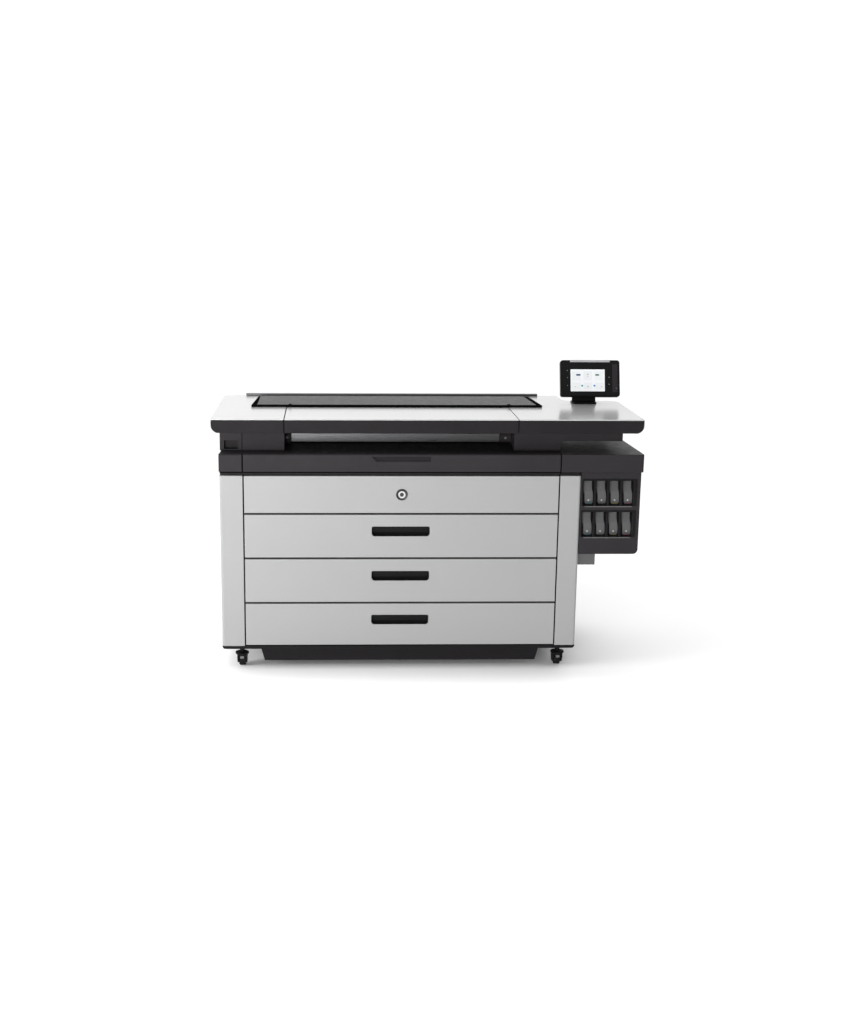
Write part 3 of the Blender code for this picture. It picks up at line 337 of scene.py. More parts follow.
FINISHES = {
    "light_paint": surface(
        "light_paint",
        (0.246, 0.246, 0.247),
        0.40,
        vary=0.012,
        vary_size=0.4,
        grain=0.000012,
        grain_size=0.0015,
        specular=0.35,
    ),
    "top_white": surface(
        "top_white",
        (0.355, 0.355, 0.357),
        0.20,
        vary=0.008,
        vary_size=0.5,
        shine_vary=0.015,
        shine_size=0.2,
        grain=0.000002,
        grain_size=0.004,
        specular=0.5,
    ),
    "charcoal": surface(
        "charcoal", (0.0200, 0.0179, 0.0198), 0.48, vary=0.06, grain=0.00004, grain_size=0.0009, specular=0.075
    ),
    "bracket_steel": surface("bracket_steel", (0.088, 0.088, 0.090), 0.36, metallic=0.85, vary=0.08, stretch=BRUSHED_X),
    # A darker copy of the charcoal: painted shade, for the head housings' and the hood's aprons, the scooped backing
    # behind the flap's pull slot and the tray under the machine.
    "charcoal_painted_shade": surface(
        "charcoal_painted_shade", (0.0115, 0.0103, 0.0114), 0.48, vary=0.06, grain=0.00004, grain_size=0.0009, specular=0.06
    ),
    "black_steel": surface("black_steel", (0.006, 0.006, 0.0065), 0.45, vary=0.10, specular=0.08),
    "black_plastic": surface(
        "black_plastic", (0.006, 0.006, 0.0065), 0.45, vary=0.10, grain=0.00003, grain_size=0.0009, specular=0.06
    ),
    "lid_grey": surface(
        "lid_grey", (0.050, 0.050, 0.050), 0.48, vary=0.04, grain=0.00004, grain_size=0.0009, specular=0.07
    ),
    "bar_steel": surface(
        "bar_steel",
        (0.052, 0.052, 0.054),
        0.34,
        metallic=0.9,
        vary=0.12,
        vary_size=0.004,
        shine_vary=0.10,
        shine_size=0.003,
        grain=0.000008,
        grain_size=0.0008,
        stretch=BRUSHED_X,
    ),
    "rail_aluminium": surface(
        "rail_aluminium",
        (0.08, 0.08, 0.083),
        0.34,
        metallic=0.9,
        vary=0.06,
        vary_size=0.004,
        shine_vary=0.08,
        shine_size=0.003,
        grain=0.000006,
        grain_size=0.0008,
        stretch=BRUSHED_X,
    ),
    "zinc": surface(
        "zinc",
        (0.33, 0.335, 0.345),
        0.46,
        metallic=0.6,
        vary=0.05,
        shine_vary=0.03,
        grain=0.000003,
        spangle=0.010,
    ),
    "rubber": surface("rubber", (0.009, 0.009, 0.009), 0.78, vary=0.15, grain=0.00005, grain_size=0.0007, specular=0.12),
    "wheel_black": surface("wheel_black", (0.007, 0.007, 0.0073), 0.55, vary=0.25, vary_size=0.02, grain=0.00005, specular=0.10),
    "spindle_blue": surface("spindle_blue", (0.03, 0.10, 0.22), 0.42, vary=0.05, grain=0.00002),
    "paper": surface("paper", (0.80, 0.79, 0.76), 0.75, vary=0.02, vary_size=0.03, grain=0.00003, grain_size=0.0006),
    "cartridge_grey": surface("cartridge_grey", (0.075, 0.075, 0.077), 0.42, vary=0.06, grain=0.00003, specular=0.3),
    "screen_glass": surface(
        "screen_glass", (0.004, 0.004, 0.0045), 0.16, vary=0.05, shine_vary=0.03, grain=0.000002, specular=0.25
    ),
    "badge_dark": surface("badge_dark", (0.012, 0.012, 0.013), 0.3, vary=0.05, grain=0.000005, specular=0.3),
    "badge_light": surface("badge_light", (0.38, 0.38, 0.39), 0.30, metallic=0.3, vary=0.05, grain=0.000005),
    "label_grey": surface("label_grey", (0.11, 0.11, 0.11), 0.5, vary=0.04, specular=0.3),
    "mark_white": surface("mark_white", (0.40, 0.40, 0.40), 0.4, vary=0.04),
    "beacon": surface("beacon", (0.30, 0.30, 0.31), 0.35, vary=0.04, vary_size=0.02, glow=0.03),
    "screw_steel": surface("screw_steel", (0.25, 0.25, 0.26), 0.35, metallic=0.9, vary=0.10, vary_size=0.004),
    "core_brown": surface("core_brown", (0.32, 0.21, 0.12), 0.85, vary=0.12, vary_size=0.006, grain=0.00005),
    "shaft_steel": surface("shaft_steel", (0.45, 0.45, 0.46), 0.25, metallic=1.0, vary=0.05, vary_size=0.01),
    "lid_black": surface("lid_black", (0.004, 0.004, 0.004), 0.6, vary=0.10, grain=0.00003, specular=0.0),
    # Near black without a shine: painted shade, for the strips put behind seams and gaps to stand in for their shadow.
    "painted_shade_black": surface("painted_shade_black", (0.003, 0.003, 0.003), 0.7, vary=0.10, specular=0.0),
    "screen_white": surface("screen_white", (0.50, 0.51, 0.52), 0.3, vary=0.02, specular=0.2, glow=0.50),
    "screen_tile": surface("screen_tile", (0.48, 0.49, 0.50), 0.3, vary=0.03, specular=0.2, glow=0.46),
    "screen_teal": surface("screen_teal", (0.02, 0.22, 0.22), 0.3, vary=0.03, specular=0.2, glow=0.3),
    "screen_blue": surface("screen_blue", (0.03, 0.16, 0.36), 0.3, vary=0.03, specular=0.2, glow=0.3),
    "screen_navy": surface("screen_navy", (0.01, 0.05, 0.12), 0.3, vary=0.03, specular=0.2, glow=0.2),
    "screen_green": surface("screen_green", (0.05, 0.12, 0.09), 0.3, vary=0.03, specular=0.2, glow=0.2),
    "screen_grey": surface("screen_grey", (0.30, 0.31, 0.32), 0.3, vary=0.03, specular=0.2, glow=0.4),
    # The ink marks' colours are their inks darkened with painted shade, for the curved front that they sit under.
    "ink_cyan": surface("ink_cyan", (0.004, 0.055, 0.060), 0.4, vary=0.05, vary_size=0.01),
    "ink_black": surface("ink_black", (0.02, 0.02, 0.02), 0.4, vary=0.05, vary_size=0.01),
    "ink_yellow": surface("ink_yellow", (0.085, 0.075, 0.010), 0.4, vary=0.05, vary_size=0.01),
    "ink_magenta": surface("ink_magenta", (0.080, 0.010, 0.030), 0.4, vary=0.05, vary_size=0.01),
}
NODE_SLOTS = {item["node"]: item["material_slot"] for item in frame["record"]["subparts"]}


# Placing


def body_of(cad_node):
    return frame["nodes"][cad_node]["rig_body"]


def put(piece, finish, body, *cad_nodes):
    """Paint a piece, hang it on its body, and let it stand for the CAD nodes that it covers."""
    piece.data.materials.clear()
    piece.data.materials.append(FINISHES[finish])
    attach(piece, body)
    if cad_nodes:
        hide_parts(*cad_nodes)
    return piece


def refined(cad_node, edge, segments=2, extra=None, finish=None):
    """A CAD node's shape with whole flat faces and rounded edges, in the node's place."""
    bm = bmesh.new()
    bm.from_mesh(frame["nodes"][cad_node].data)
    piece = settled(made(cad_node + "_shell", bm))
    if extra:
        extra(piece)
    soften(piece, edge, segments)
    return put(piece, finish or NODE_SLOTS[cad_node], body_of(cad_node), cad_node)


def narrowed(margin):
    """A step for refined that draws both ends of a piece in along X, to widen the seams beside it."""

    def step(piece):
        xs = [v.co.x for v in piece.data.vertices]
        low, high = min(xs), max(xs)
        for v in piece.data.vertices:
            if v.co.x < low + margin:
                v.co.x += margin
            elif v.co.x > high - margin:
                v.co.x -= margin

    return step


def opening(name):
    """The lowest and the highest corner of an opening that the record states."""
    found = next(item for item in frame["record"]["physics"]["openings"] if item["name"] == name)
    return Vector(found["box_m"][0]), Vector(found["box_m"][1])


def screws(name, body, facing, places, radius=4 * MM):
    """Screw heads with a hexagonal socket, each on the surface at its place."""
    head = turned(
        name + "_head",
        [
            (-0.5 * MM, 0),
            (-0.5 * MM, radius),
            (radius * 0.25, radius),
            (radius * 0.45, radius * 0.8),
            (radius * 0.5, radius * 0.5),
            (radius * 0.5, 0),
        ],
        (0, 0, 0),
        "Z",
        20,
    )
    carved(head, rod(name + "_socket", radius * 0.15, radius, radius * 0.45, (0, 0, 0), "Z", 6))
    aim = Vector((0, 0, 1)).rotation_difference(Vector(facing)).to_matrix().to_4x4()
    bm = bmesh.new()
    for place in places:
        copy = head.data.copy()
        copy.transform(Matrix.Translation(place) @ aim)
        bm.from_mesh(copy)
        bpy.data.meshes.remove(copy)
    bpy.data.objects.remove(head)
    return put(made(name, bm), "screw_steel", body)


def ring_cutter(name, low, high, radius, width, axis, start, end):
    """What is cut to leave a rounded rectangular groove."""
    (a, b), (c, d) = low, high
    inner = rectangle((a + width, b + width), (c - width, d - width), radius - width)
    ring = prism(name, rectangle(low, high, radius), axis, start, end)
    reach = (end - start) * 0.1
    return carved(ring, prism(name + "_island", inner, axis, start - reach, end + reach))


# Cabinet

COLUMN_DEPTH = 62 * MM  # the front column on each side, ahead of the flat side sheet
GROOVE = 1.6 * MM
CORNER_RADIUS = 12 * MM
VENT_SLOT = (46 * MM, 4 * MM)  # length and height
VENT_PITCH = 10 * MM


def vent_cutter(name, axis, depth, first, columns, rows, slot=VENT_SLOT, pitch=VENT_PITCH, gap=12 * MM):
    """Rows of slots: first is the lowest slot's lower corner across and up, depth the cut's two ends."""
    length, height = slot
    cells = []
    for column in range(columns):
        for row in range(rows):
            across = first[0] + column * (length + gap)
            up = first[1] + row * pitch
            if axis == "X":
                cells.append(((depth[0], across, up), (depth[1], across + length, up + height)))
            else:
                cells.append(((across, depth[0], up), (across + length, depth[1], up + height)))
    return boxes(name, *cells)


def side_panel(cad_node, side, cover_low, cover_high, vents):
    """A painted side: a front column, a flat sheet behind it with a bolted cover, and vents."""
    (x0, y0, z0), (x1, y1, z1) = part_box(cad_node)
    outer, inner = (x0, x1) if side < 0 else (x1, x0)
    outline = filleted([(outer, y0, CORNER_RADIUS), (inner, y0, 1.5 * MM), (inner, y1), (outer, y1)])
    panel = prism(cad_node + "_sheet", outline, "Z", z0, z1)
    deep, proud = outer - side * GROOVE, outer + side * GROOVE
    near, far = min(deep, proud), max(deep, proud)
    seam_y = y0 + COLUMN_DEPTH
    column_seam = boxes("column_seam", ((near, seam_y, z0 - MM), (far, seam_y + GROOVE, z1 + MM)))
    cover_seam = ring_cutter("cover_seam", cover_low, cover_high, 10 * MM, GROOVE, "X", near, far)
    vent_far = outer - side * 7 * MM
    vent_span = (min(vent_far, proud), max(vent_far, proud))
    holes = vent_cutter("side_vents", "X", vent_span, vents, 2, 9)
    carved(panel, column_seam, cover_seam, holes)
    soften(panel, 0.7 * MM)
    put(panel, "light_paint", "cabinet", cad_node)
    inset = 12 * MM
    ys = (cover_low[0] + inset, cover_high[0] - inset)
    zs = (cover_low[1] + inset, cover_high[1] - inset)
    screws(cad_node + "_screws", "cabinet", (side, 0, 0), [(outer, y, z) for y in ys for z in zs])


def side_panels():
    side_panel("left_side_panel", -1, (-0.300, 0.160), (0.350, 0.640), (0.225, 0.760))
    side_panel("right_side_panel", 1, (-0.300, 0.150), (0.350, 0.460), (0.225, 0.760))


def back_cover():
    """The back: a flat sheet and a raised panel, with vents, a power inlet and a port plate."""
    (x0, y0, z0), (x1, y1, z1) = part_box("back_cover")
    sheet = boxes("back_sheet", ((x0, y0, z0), (x1, y0 + SHEET, z1)))
    soften(sheet, 0.6 * MM)
    put(sheet, "light_paint", "cabinet", "back_cover")
    left, right = x0 + 0.143, x1 - 0.1465
    low, high = 0.200, 1.100
    raised = prism(
        "back_panel", rectangle((left, low), (right, high), 14 * MM), "Y", y0 + SHEET - FLUSH, y1
    )
    depth = (y1 - 6 * MM, y1 + 6 * MM)
    cutters = [
        vent_cutter("back_vents_left", "Y", depth, (left + 0.09, 0.80), 4, 14),
        vent_cutter("back_vents_right", "Y", depth, (right - 0.31, 0.80), 4, 14),
        ring_cutter("jam_door_seam", (-0.42, 0.36), (0.18, 0.66), 12 * MM, GROOVE, "Y", y1 - GROOVE, y1 + MM),
        prism("jam_door_pull", rectangle((-0.18, 0.60), (-0.06, 0.63), 9 * MM), "Y", y1 - 14 * MM, y1 + MM),
        boxes("inlet_bay", ((right - 0.17, y1 - 16 * MM, 0.235), (right - 0.03, y1 + MM, 0.305))),
    ]
    carved(raised, *cutters)
    soften(raised, 1.2 * MM)
    put(raised, "light_paint", "cabinet")
    inset = 16 * MM
    places = [(x, y1, z) for x in (left + inset, (left + right) / 2, right - inset) for z in (low + inset, high - inset)]
    screws("back_screws", "cabinet", (0, 1, 0), places)
    rim = 14 * MM
    edge_places = [(x, y0 + SHEET, z) for x in (x0 + rim, x1 - rim) for z in (0.16, 0.40, 0.65, 0.90, 1.15)]
    screws("back_edge_screws", "cabinet", (0, 1, 0), edge_places)
    plate = boxes("port_plate", ((right - 0.165, y1 - 13 * MM, 0.240), (right - 0.035, y1 - 9 * MM, 0.300)))
    ports = boxes(
        "ports",
        ((right - 0.150, y1 - 12 * MM, 0.262), (right - 0.134, y1, 0.276)),
        ((right - 0.128, y1 - 12 * MM, 0.262), (right - 0.112, y1, 0.276)),
    )
    carved(plate, ports)
    put(soften(plate, 0.4 * MM), "zinc", "cabinet")
    inlet = prism(
        "power_inlet", rectangle((right - 0.096, 0.2525), (right - 0.046, 0.2875), 4 * MM), "Y", y1 - 12 * MM, y1 - 5 * MM
    )
    well = prism(
        "power_inlet_well", rectangle((right - 0.086, 0.2595), (right - 0.056, 0.2805), 3 * MM), "Y", y1 - 11 * MM, y1
    )
    carved(inlet, well)
    put(soften(inlet, 0.6 * MM), "black_plastic", "cabinet")
    pins = boxes(
        "power_inlet_pins",
        *[((x - MM, y1 - 12 * MM, 0.2665), (x + MM, y1 - 6 * MM, 0.2735)) for x in (right - 0.078, right - 0.071, right - 0.064)],
    )
    put(soften(pins, 0.3 * MM), "shaft_steel", "cabinet")


PULL_TOP_RADIUS = 7 * MM
PULL_BOTTOM_RADIUS = 14 * MM
PULL_MARGIN = (5 * MM, 3.5 * MM)  # from the stated opening out to the recess's edge


def pull_outline(low, high, inset=0.0):
    """The recess of a drawer pull seen from the front, with fuller corners below."""
    a, b = low[0] + inset, low[1] + inset
    c, d = high[0] - inset, high[1] - inset
    bottom, top = PULL_BOTTOM_RADIUS - inset, PULL_TOP_RADIUS - inset
    return filleted([(a, b, bottom), (c, b, bottom), (c, d, top), (a, d, top)])


SHEET_MARGIN = (2.2 * MM, 1.0 * MM)  # what a front gives up beside its upright and level seams


def front_sheet(cad_node, pull=None):
    """A folded steel front, and its moulded pull if it has one."""
    body = body_of(cad_node)
    low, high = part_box(cad_node)
    low += Vector((SHEET_MARGIN[0], 0, SHEET_MARGIN[1]))
    high -= Vector((SHEET_MARGIN[0], 0, SHEET_MARGIN[1]))
    face = boxes(cad_node + "_sheet", (low, high))
    hollow_low = low + Vector((SHEET, SHEET, SHEET))
    hollow_high = high - Vector((SHEET, -SHEET, SHEET))
    tools = [boxes("hollow", (hollow_low, hollow_high))]
    if pull:
        inside_low, inside_high = opening(pull)
        a = (inside_low.x - PULL_MARGIN[0], inside_low.z - PULL_MARGIN[1])
        b = (inside_high.x + PULL_MARGIN[0], inside_high.z + PULL_MARGIN[1])
        tools.append(prism("pull_hole", pull_outline(a, b), "Y", low.y - MM, low.y + 2 * SHEET))
    carved(face, *tools)
    soften(face, 1.0 * MM)
    put(face, "light_paint", body, cad_node)
    if pull:
        pull_cup(cad_node, body, a, b, low.y)


def pull_cup(cad_node, body, low, high, face_y):
    """A black moulded cup with a scooped floor, and a lip that hangs behind its upper edge."""
    wall = 1.6 * MM
    back = face_y + 28.5 * MM
    cup = prism(cad_node + "_pull", pull_outline(low, high, 0.1 * MM), "Y", face_y + 1.0 * MM, back)
    cavity = prism("cavity", pull_outline(low, high, wall), "Y", face_y - 5 * MM, back - wall)
    floor, ceiling = low[1] + wall, high[1] - wall
    scoop = filleted(
        [
            (face_y - 6 * MM, floor),
            (back - wall, floor, 21 * MM),
            (back - wall, ceiling, 3 * MM),
            (face_y - 6 * MM, ceiling),
        ]
    )
    common(cavity, prism("scoop", scoop, "X", low[0], high[0]))
    carved(cup, cavity)
    put(soften(cup, 0.5 * MM), "black_plastic", body)
    lip_outline = filleted(
        [
            (face_y + 2 * MM, ceiling + MM),
            (face_y + 2 * MM, ceiling - 9 * MM, 2 * MM),
            (face_y + 6.5 * MM, ceiling - 11 * MM, 2 * MM),
            (face_y + 6.5 * MM, ceiling + MM),
        ]
    )
    lip = prism(cad_node + "_pull_lip", lip_outline, "X", low[0] + PULL_TOP_RADIUS, high[0] - PULL_TOP_RADIUS)
    put(soften(lip, 0.5 * MM), "black_plastic", body)


BADGE_RADIUS = 27 * MM


def badge():
    """A plain round badge in the middle of the upper front panel."""
    low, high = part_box("upper_front_panel")
    pull_low, pull_high = opening("drawer_1_pull")
    centre = ((pull_low.x + pull_high.x) / 2 + 3 * MM, low.y, (low.z + high.z) / 2)
    r = BADGE_RADIUS
    disc = turned(
        "badge_disc",
        [
            (0.5 * MM, 0),
            (0.5 * MM, r),
            (-1.2 * MM, r),
            (-2.2 * MM, r * 0.94),
            (-1.8 * MM, r * 0.86),
            (-1.8 * MM, 0),
        ],
        centre,
        "Y",
        64,
    )
    put(disc, "badge_dark", "cabinet")
    ring_profile = [(-1.5 * MM, r * 0.34), (-1.5 * MM, r * 0.62), (-2.2 * MM, r * 0.60), (-2.2 * MM, r * 0.36)]
    put(turned("badge_ring", ring_profile, centre, "Y", 48, closed=True), "badge_light", "cabinet")


GAP_SHADE_SET_BACK = 2.5 * MM


def painted_gap_shade():
    """Black strips in the gaps beside the drawer fronts and along each front's lower edge: painted shade, so that the
    gaps read dark.
    """
    front_low, front_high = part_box("upper_front_panel")
    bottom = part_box("drawer_front_3")[0].z
    left_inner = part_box("left_side_panel")[1].x
    right_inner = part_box("right_side_panel")[0].x
    y0, y1 = front_low.y + GAP_SHADE_SET_BACK, front_high.y - 4 * MM
    play = 0.3 * MM
    uprights = boxes(
        "side_gap_shade_strips",
        ((left_inner + 0.1 * MM, y0, bottom), (front_low.x - play, y1, front_high.z)),
        ((front_high.x + play, y0, bottom), (right_inner - 0.1 * MM, y1, front_high.z)),
    )
    put(soften(uprights, 0.4 * MM), "painted_shade_black", "cabinet")
    left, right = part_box("left_side_panel")[0].x + 2 * MM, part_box("right_side_panel")[1].x - 2 * MM
    band_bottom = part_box("access_flap")[0].z
    band_shade = boxes(
        "band_gap_shade_strip", ((left, front_low.y - 1.2 * MM, band_bottom - 7.5 * MM), (right, y0, band_bottom - 0.3 * MM))
    )
    put(soften(band_shade, 1.0 * MM), "painted_shade_black", "cabinet")
    for cad_node in ("upper_front_panel", "drawer_front_1", "drawer_front_2"):
        low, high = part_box(cad_node)
        strip = boxes(
            cad_node + "_lower_gap_shade",
            ((low.x + SHEET, y0 + MM, low.z - 5 * MM), (high.x - SHEET, y1 - 8 * MM, low.z + 0.1 * MM)),
        )
        put(soften(strip, 1.0 * MM), "rubber", body_of(cad_node))


def cabinet():
    side_panels()
    back_cover()
    front_sheet("upper_front_panel")
    badge()
    painted_gap_shade()
    refined("base_plate", 1.5 * MM)
    # The tray under the machine in the charcoal's darker copy: painted shade.
    refined("lower_tray", 1.5 * MM, finish="charcoal_painted_shade")
    for number in (1, 2, 3):
        front_sheet(f"drawer_front_{number}", f"drawer_{number}_pull")


# Drawers

HEM = 9 * MM
RAIL = (11 * MM, 42 * MM)  # a slide's thickness and height
RAIL_LENGTH = 0.46


def drawer_tray(number):
    """The sheet-steel tray, with a hem along each rim and a slide on each side."""
    cad_node = f"drawer_tray_{number}"
    body = body_of(cad_node)
    refined(cad_node, 0.5 * MM)
    (x0, y0, z0), (x1, y1, z1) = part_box(cad_node)
    low, high = z0 + 30 * MM, z0 + 30 * MM + RAIL[1]
    hems = boxes(
        f"{cad_node}_hems",
        ((x0 + SHEET, y0 + SHEET, z1 - SHEET), (x1 - SHEET, y0 + HEM, z1)),
        ((x0 + SHEET, y1 - HEM, z1 - SHEET), (x1 - SHEET, y1 - SHEET, z1)),
    )
    put(soften(hems, 0.4 * MM), "zinc", body)
    cabinet_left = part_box("left_side_panel")[1].x
    cabinet_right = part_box("right_side_panel")[0].x
    inner, outer = [], []
    for wall, side, fixed in ((x0, -1, cabinet_left), (x1, 1, cabinet_right)):
        inner.append(channel(f"rail_{number}_{side}", wall, side, 5 * MM, y0 + 0.01, y0 + 0.01 + RAIL_LENGTH, low + 6 * MM, high - 6 * MM))
        outer.append(channel(f"track_{number}_{side}", fixed, -side, 9 * MM, y0 + 0.005, y0 + 0.02 + RAIL_LENGTH, low, high))
    put(soften(joined(f"drawer_{number}_rails", inner), 0.4 * MM), "shaft_steel", body)
    put(soften(joined(f"cabinet_{number}_tracks", outer), 0.4 * MM), "shaft_steel", "cabinet")


def channel(name, wall, side, depth, y0, y1, low, high):
    """A C-section along Y that stands on a wall and opens away from it."""
    reach = wall + side * depth
    thick = 1.5 * MM
    near = wall + side * thick
    spans = [
        ((wall, low), (near, high)),
        ((wall, low), (reach, low + thick)),
        ((wall, high - thick), (reach, high)),
    ]
    corners = []
    for (xa, za), (xb, zb) in spans:
        corners.append(((min(xa, xb), y0, za), (max(xa, xb), y1, zb)))
    return boxes(name, *corners)


FLANGE_SPOKES = 6


def spindle(letter):
    """A roll's mandrel with ribbed flanges, a cardboard core and the paper wound on it."""
    cad_node = f"spindle_{letter}"
    roll_node = f"media_roll_{letter}"
    body = body_of(cad_node)
    (x0, y0, z0), (x1, y1, z1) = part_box(cad_node)
    (r0, _, bottom), (r1, _, top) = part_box(roll_node)
    centre = (0, (y0 + y1) / 2, (z0 + z1) / 2)
    flange = (z1 - z0) / 2
    paper = (top - bottom) / 2
    journal, bore, core = 10 * MM, 24.6 * MM, 28 * MM
    width = 8 * MM
    shaft = rod(f"{cad_node}_shaft", x0, x1, journal - 0.3 * MM, centre, sides=32, chamfer=1.5 * MM)
    put(shaft, "shaft_steel", body)
    ends = []
    for inner, side in ((r0, -1), (r1, 1)):
        outer = inner + side * width
        disc = turned(
            "disc",
            [
                (inner + side * 0.3 * MM, journal),
                (inner + side * 0.3 * MM, flange - MM),
                (inner + side * 1.3 * MM, flange),
                (outer - side * 2 * MM, flange),
                (outer - side * MM, flange - MM),
                (outer - side * MM, flange - 5 * MM),
                (inner + side * 3 * MM, flange - 6 * MM),
                (inner + side * 3 * MM, journal + 9 * MM),
                (outer, journal + 7 * MM),
                (outer, journal),
            ],
            centre,
            sides=48,
            closed=True,
        )
        ribs = []
        for index in range(FLANGE_SPOKES):
            near, far = sorted((inner + side * 2 * MM, outer - side * 1.5 * MM))
            rib = boxes("rib", ((near, -1.5 * MM, journal + 6 * MM), (far, 1.5 * MM, flange - 5.5 * MM)))
            rib.data.transform(Matrix.Rotation(TAU * index / FLANGE_SPOKES, 4, "X"))
            rib.data.transform(Matrix.Translation(centre))
            ribs.append(rib)
        ends.append(joined("end", [disc, *ribs]))
    flanges = joined(f"{cad_node}_flanges", ends)
    put(flanges, "spindle_blue", body, cad_node)
    tube = turned(
        f"{roll_node}_core",
        [(r0, bore), (r0, core), (r1, core), (r1, bore)],
        centre,
        sides=48,
        closed=True,
    )
    put(soften(tube, 0.4 * MM), "core_brown", body)
    wound = [(r0, core + FLUSH)]
    rings = 14
    for ring in range(1, rings):
        wobble = 0.25 * MM * math.sin(ring * 2.4)
        wound.append((r0 + 0.25 * MM + wobble, core + (paper - core) * ring / rings))
    wound += [(r0 + 0.5 * MM, paper), (r1 - 0.5 * MM, paper)]
    for ring in range(rings - 1, 0, -1):
        wobble = 0.25 * MM * math.sin(ring * 1.9)
        wound.append((r1 - 0.25 * MM + wobble, core + (paper - core) * ring / rings))
    wound.append((r1, core + FLUSH))
    roll = turned(f"{roll_node}_paper", wound, centre, sides=72, closed=True)
    put(roll, "paper", body, roll_node)
    tail = prism(
        f"{roll_node}_tail",
        [
            (centre[1] - 12 * MM, centre[2] + paper * 0.984),
            (centre[1] - 12 * MM, centre[2] + paper * 0.9915),
            (centre[1] - 2 * MM, centre[2] + paper + 0.35 * MM),
            (centre[1] + 6 * MM, centre[2] + paper * 0.999),
            (centre[1] + 6 * MM, centre[2] + paper * 0.99),
        ],
        "X",
        r0 + MM,
        r1 - MM,
    )
    put(tail, "paper", body)


def drawers():
    for number in (1, 2, 3):
        drawer_tray(number)
        for end in "ab":
            spindle(f"{number}{end}")


# Print engine

RIB_PITCH = 26 * MM
SLEEVE = 58 * MM


def outlet_ribs():
    """Low ribs down the outlet's guide, which keep a wet sheet off the plastic."""
    low, high = opening("paper_outlet")
    front, rear = low.y + 0.104, high.y - 0.010
    top_front, top_rear = 1.0319, 1.0466
    count = int((high.x - low.x) / RIB_PITCH)
    bm = bmesh.new()
    for index in range(count + 1):
        x = low.x + index * RIB_PITCH
        rib = prism(
            "rib",
            [(front, top_front - 1.5 * MM), (front + 3 * MM, top_front + 0.6 * MM), (rear, top_rear), (rear, top_rear - 3 * MM)],
            "X",
            x - MM,
            x + MM,
        )
        bm.from_mesh(rib.data)
        bpy.data.objects.remove(rib)
    put(made("outlet_ribs", bm), "charcoal", "cabinet")


def output_roller():
    """A steel shaft with rubber sleeves."""
    (x0, y0, z0), (x1, y1, z1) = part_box("output_roller")
    centre = (0, (y0 + y1) / 2, (z0 + z1) / 2)
    radius = (z1 - z0) / 2
    shaft = turned(
        "output_roller_shaft",
        [(x0, 0), (x0, 3.4 * MM), (x0 + 0.6 * MM, 4 * MM), (x0 + 22 * MM, 4 * MM), (x0 + 22 * MM, 8 * MM),
         (x1 - 22 * MM, 8 * MM), (x1 - 22 * MM, 4 * MM), (x1 - 0.6 * MM, 4 * MM), (x1, 3.4 * MM), (x1, 0)],
        centre,
        sides=24,
    )
    put(shaft, "shaft_steel", "roller")
    start, stop = x0 + 24 * MM, x1 - 24 * MM
    count = 13
    pitch = (stop - start) / count
    sleeves = []
    for index in range(count):
        a = start + index * pitch
        b = a + SLEEVE
        sleeves.append(
            turned(
                "sleeve",
                [(a, 7.5 * MM), (a, radius - 1.5 * MM), (a + 1.5 * MM, radius), (b - 1.5 * MM, radius), (b, radius - 1.5 * MM), (b, 7.5 * MM)],
                centre,
                sides=36,
                closed=True,
            )
        )
    put(joined("output_roller_sleeves", sleeves), "rubber", "roller", "output_roller")


def bearing_pins():
    """The caps on the outlet's two bearing blocks."""
    (x0, y0, z0), (x1, _, z1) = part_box("output_roller")
    bar_low, bar_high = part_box("output_bar")
    y, z = bar_low.y - 3 * MM, (bar_low.z + bar_high.z) / 2
    pins = [
        rod("pin", -2 * MM, 6 * MM, 6 * MM, (x, y, z), "Y", 24, MM) for x in (x0 - 4 * MM, x1 + 16 * MM)
    ]
    put(joined("bearing_caps", pins), "label_grey", "cabinet")
    block = boxes(
        "bearing_block", ((x0 - 12 * MM, bar_low.y - 2.2 * MM, bar_low.z - 9 * MM), (x0 + 15 * MM, bar_low.y - 0.3 * MM, bar_high.z - MM))
    )
    put(soften(block, 0.8 * MM), "black_plastic", "cabinet")


def print_heads():
    """The print bar with a row of head modules, each with a latch."""
    refined("print_bar", 1.5 * MM)
    low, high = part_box("print_bar")
    count = 8
    pitch = (high.x - low.x - 0.04) / count
    modules, latches = [], []
    for index in range(count):
        a = low.x + 0.02 + index * pitch + 4 * MM
        b = a + pitch - 8 * MM
        modules.append(boxes("module", ((a, low.y + 12 * MM, high.z - MM), (b, high.y - 10 * MM, high.z + 26 * MM))))
        latches.append(
            boxes("latch", ((a + 0.3 * pitch, low.y + 6 * MM, high.z + 8 * MM), (b - 0.3 * pitch, low.y + 15 * MM, high.z + 30 * MM)))
        )
    put(soften(joined("head_modules", modules), 2 * MM), "charcoal", "cabinet")
    put(soften(joined("head_latches", latches), 1.5 * MM), "spindle_blue", "cabinet")


SEAM_MARGIN = 2.6 * MM  # what each moving cover gives up beside a seam


def access_flap():
    """The flap, with a scooped backing behind its pull slot in the charcoal's darker copy, painted shade."""
    refined("access_flap", 2.2 * MM, 3, narrowed(SEAM_MARGIN))
    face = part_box("access_flap")[0].y
    low, high = opening("flap_pull")
    outline = [
        (face + 6 * MM, low.z - 6 * MM),
        (face + 2.6 * MM, low.z - 6 * MM),
        (face + 5.6 * MM, low.z + 1 * MM),
        (face + 2.9 * MM, high.z + 6 * MM),
        (face + 6 * MM, high.z + 6 * MM),
    ]
    backing = prism("flap_pull_backing", outline, "X", low.x - 30 * MM, high.x + 10 * MM)
    put(soften(backing, 0.4 * MM), "charcoal_painted_shade", "flap")


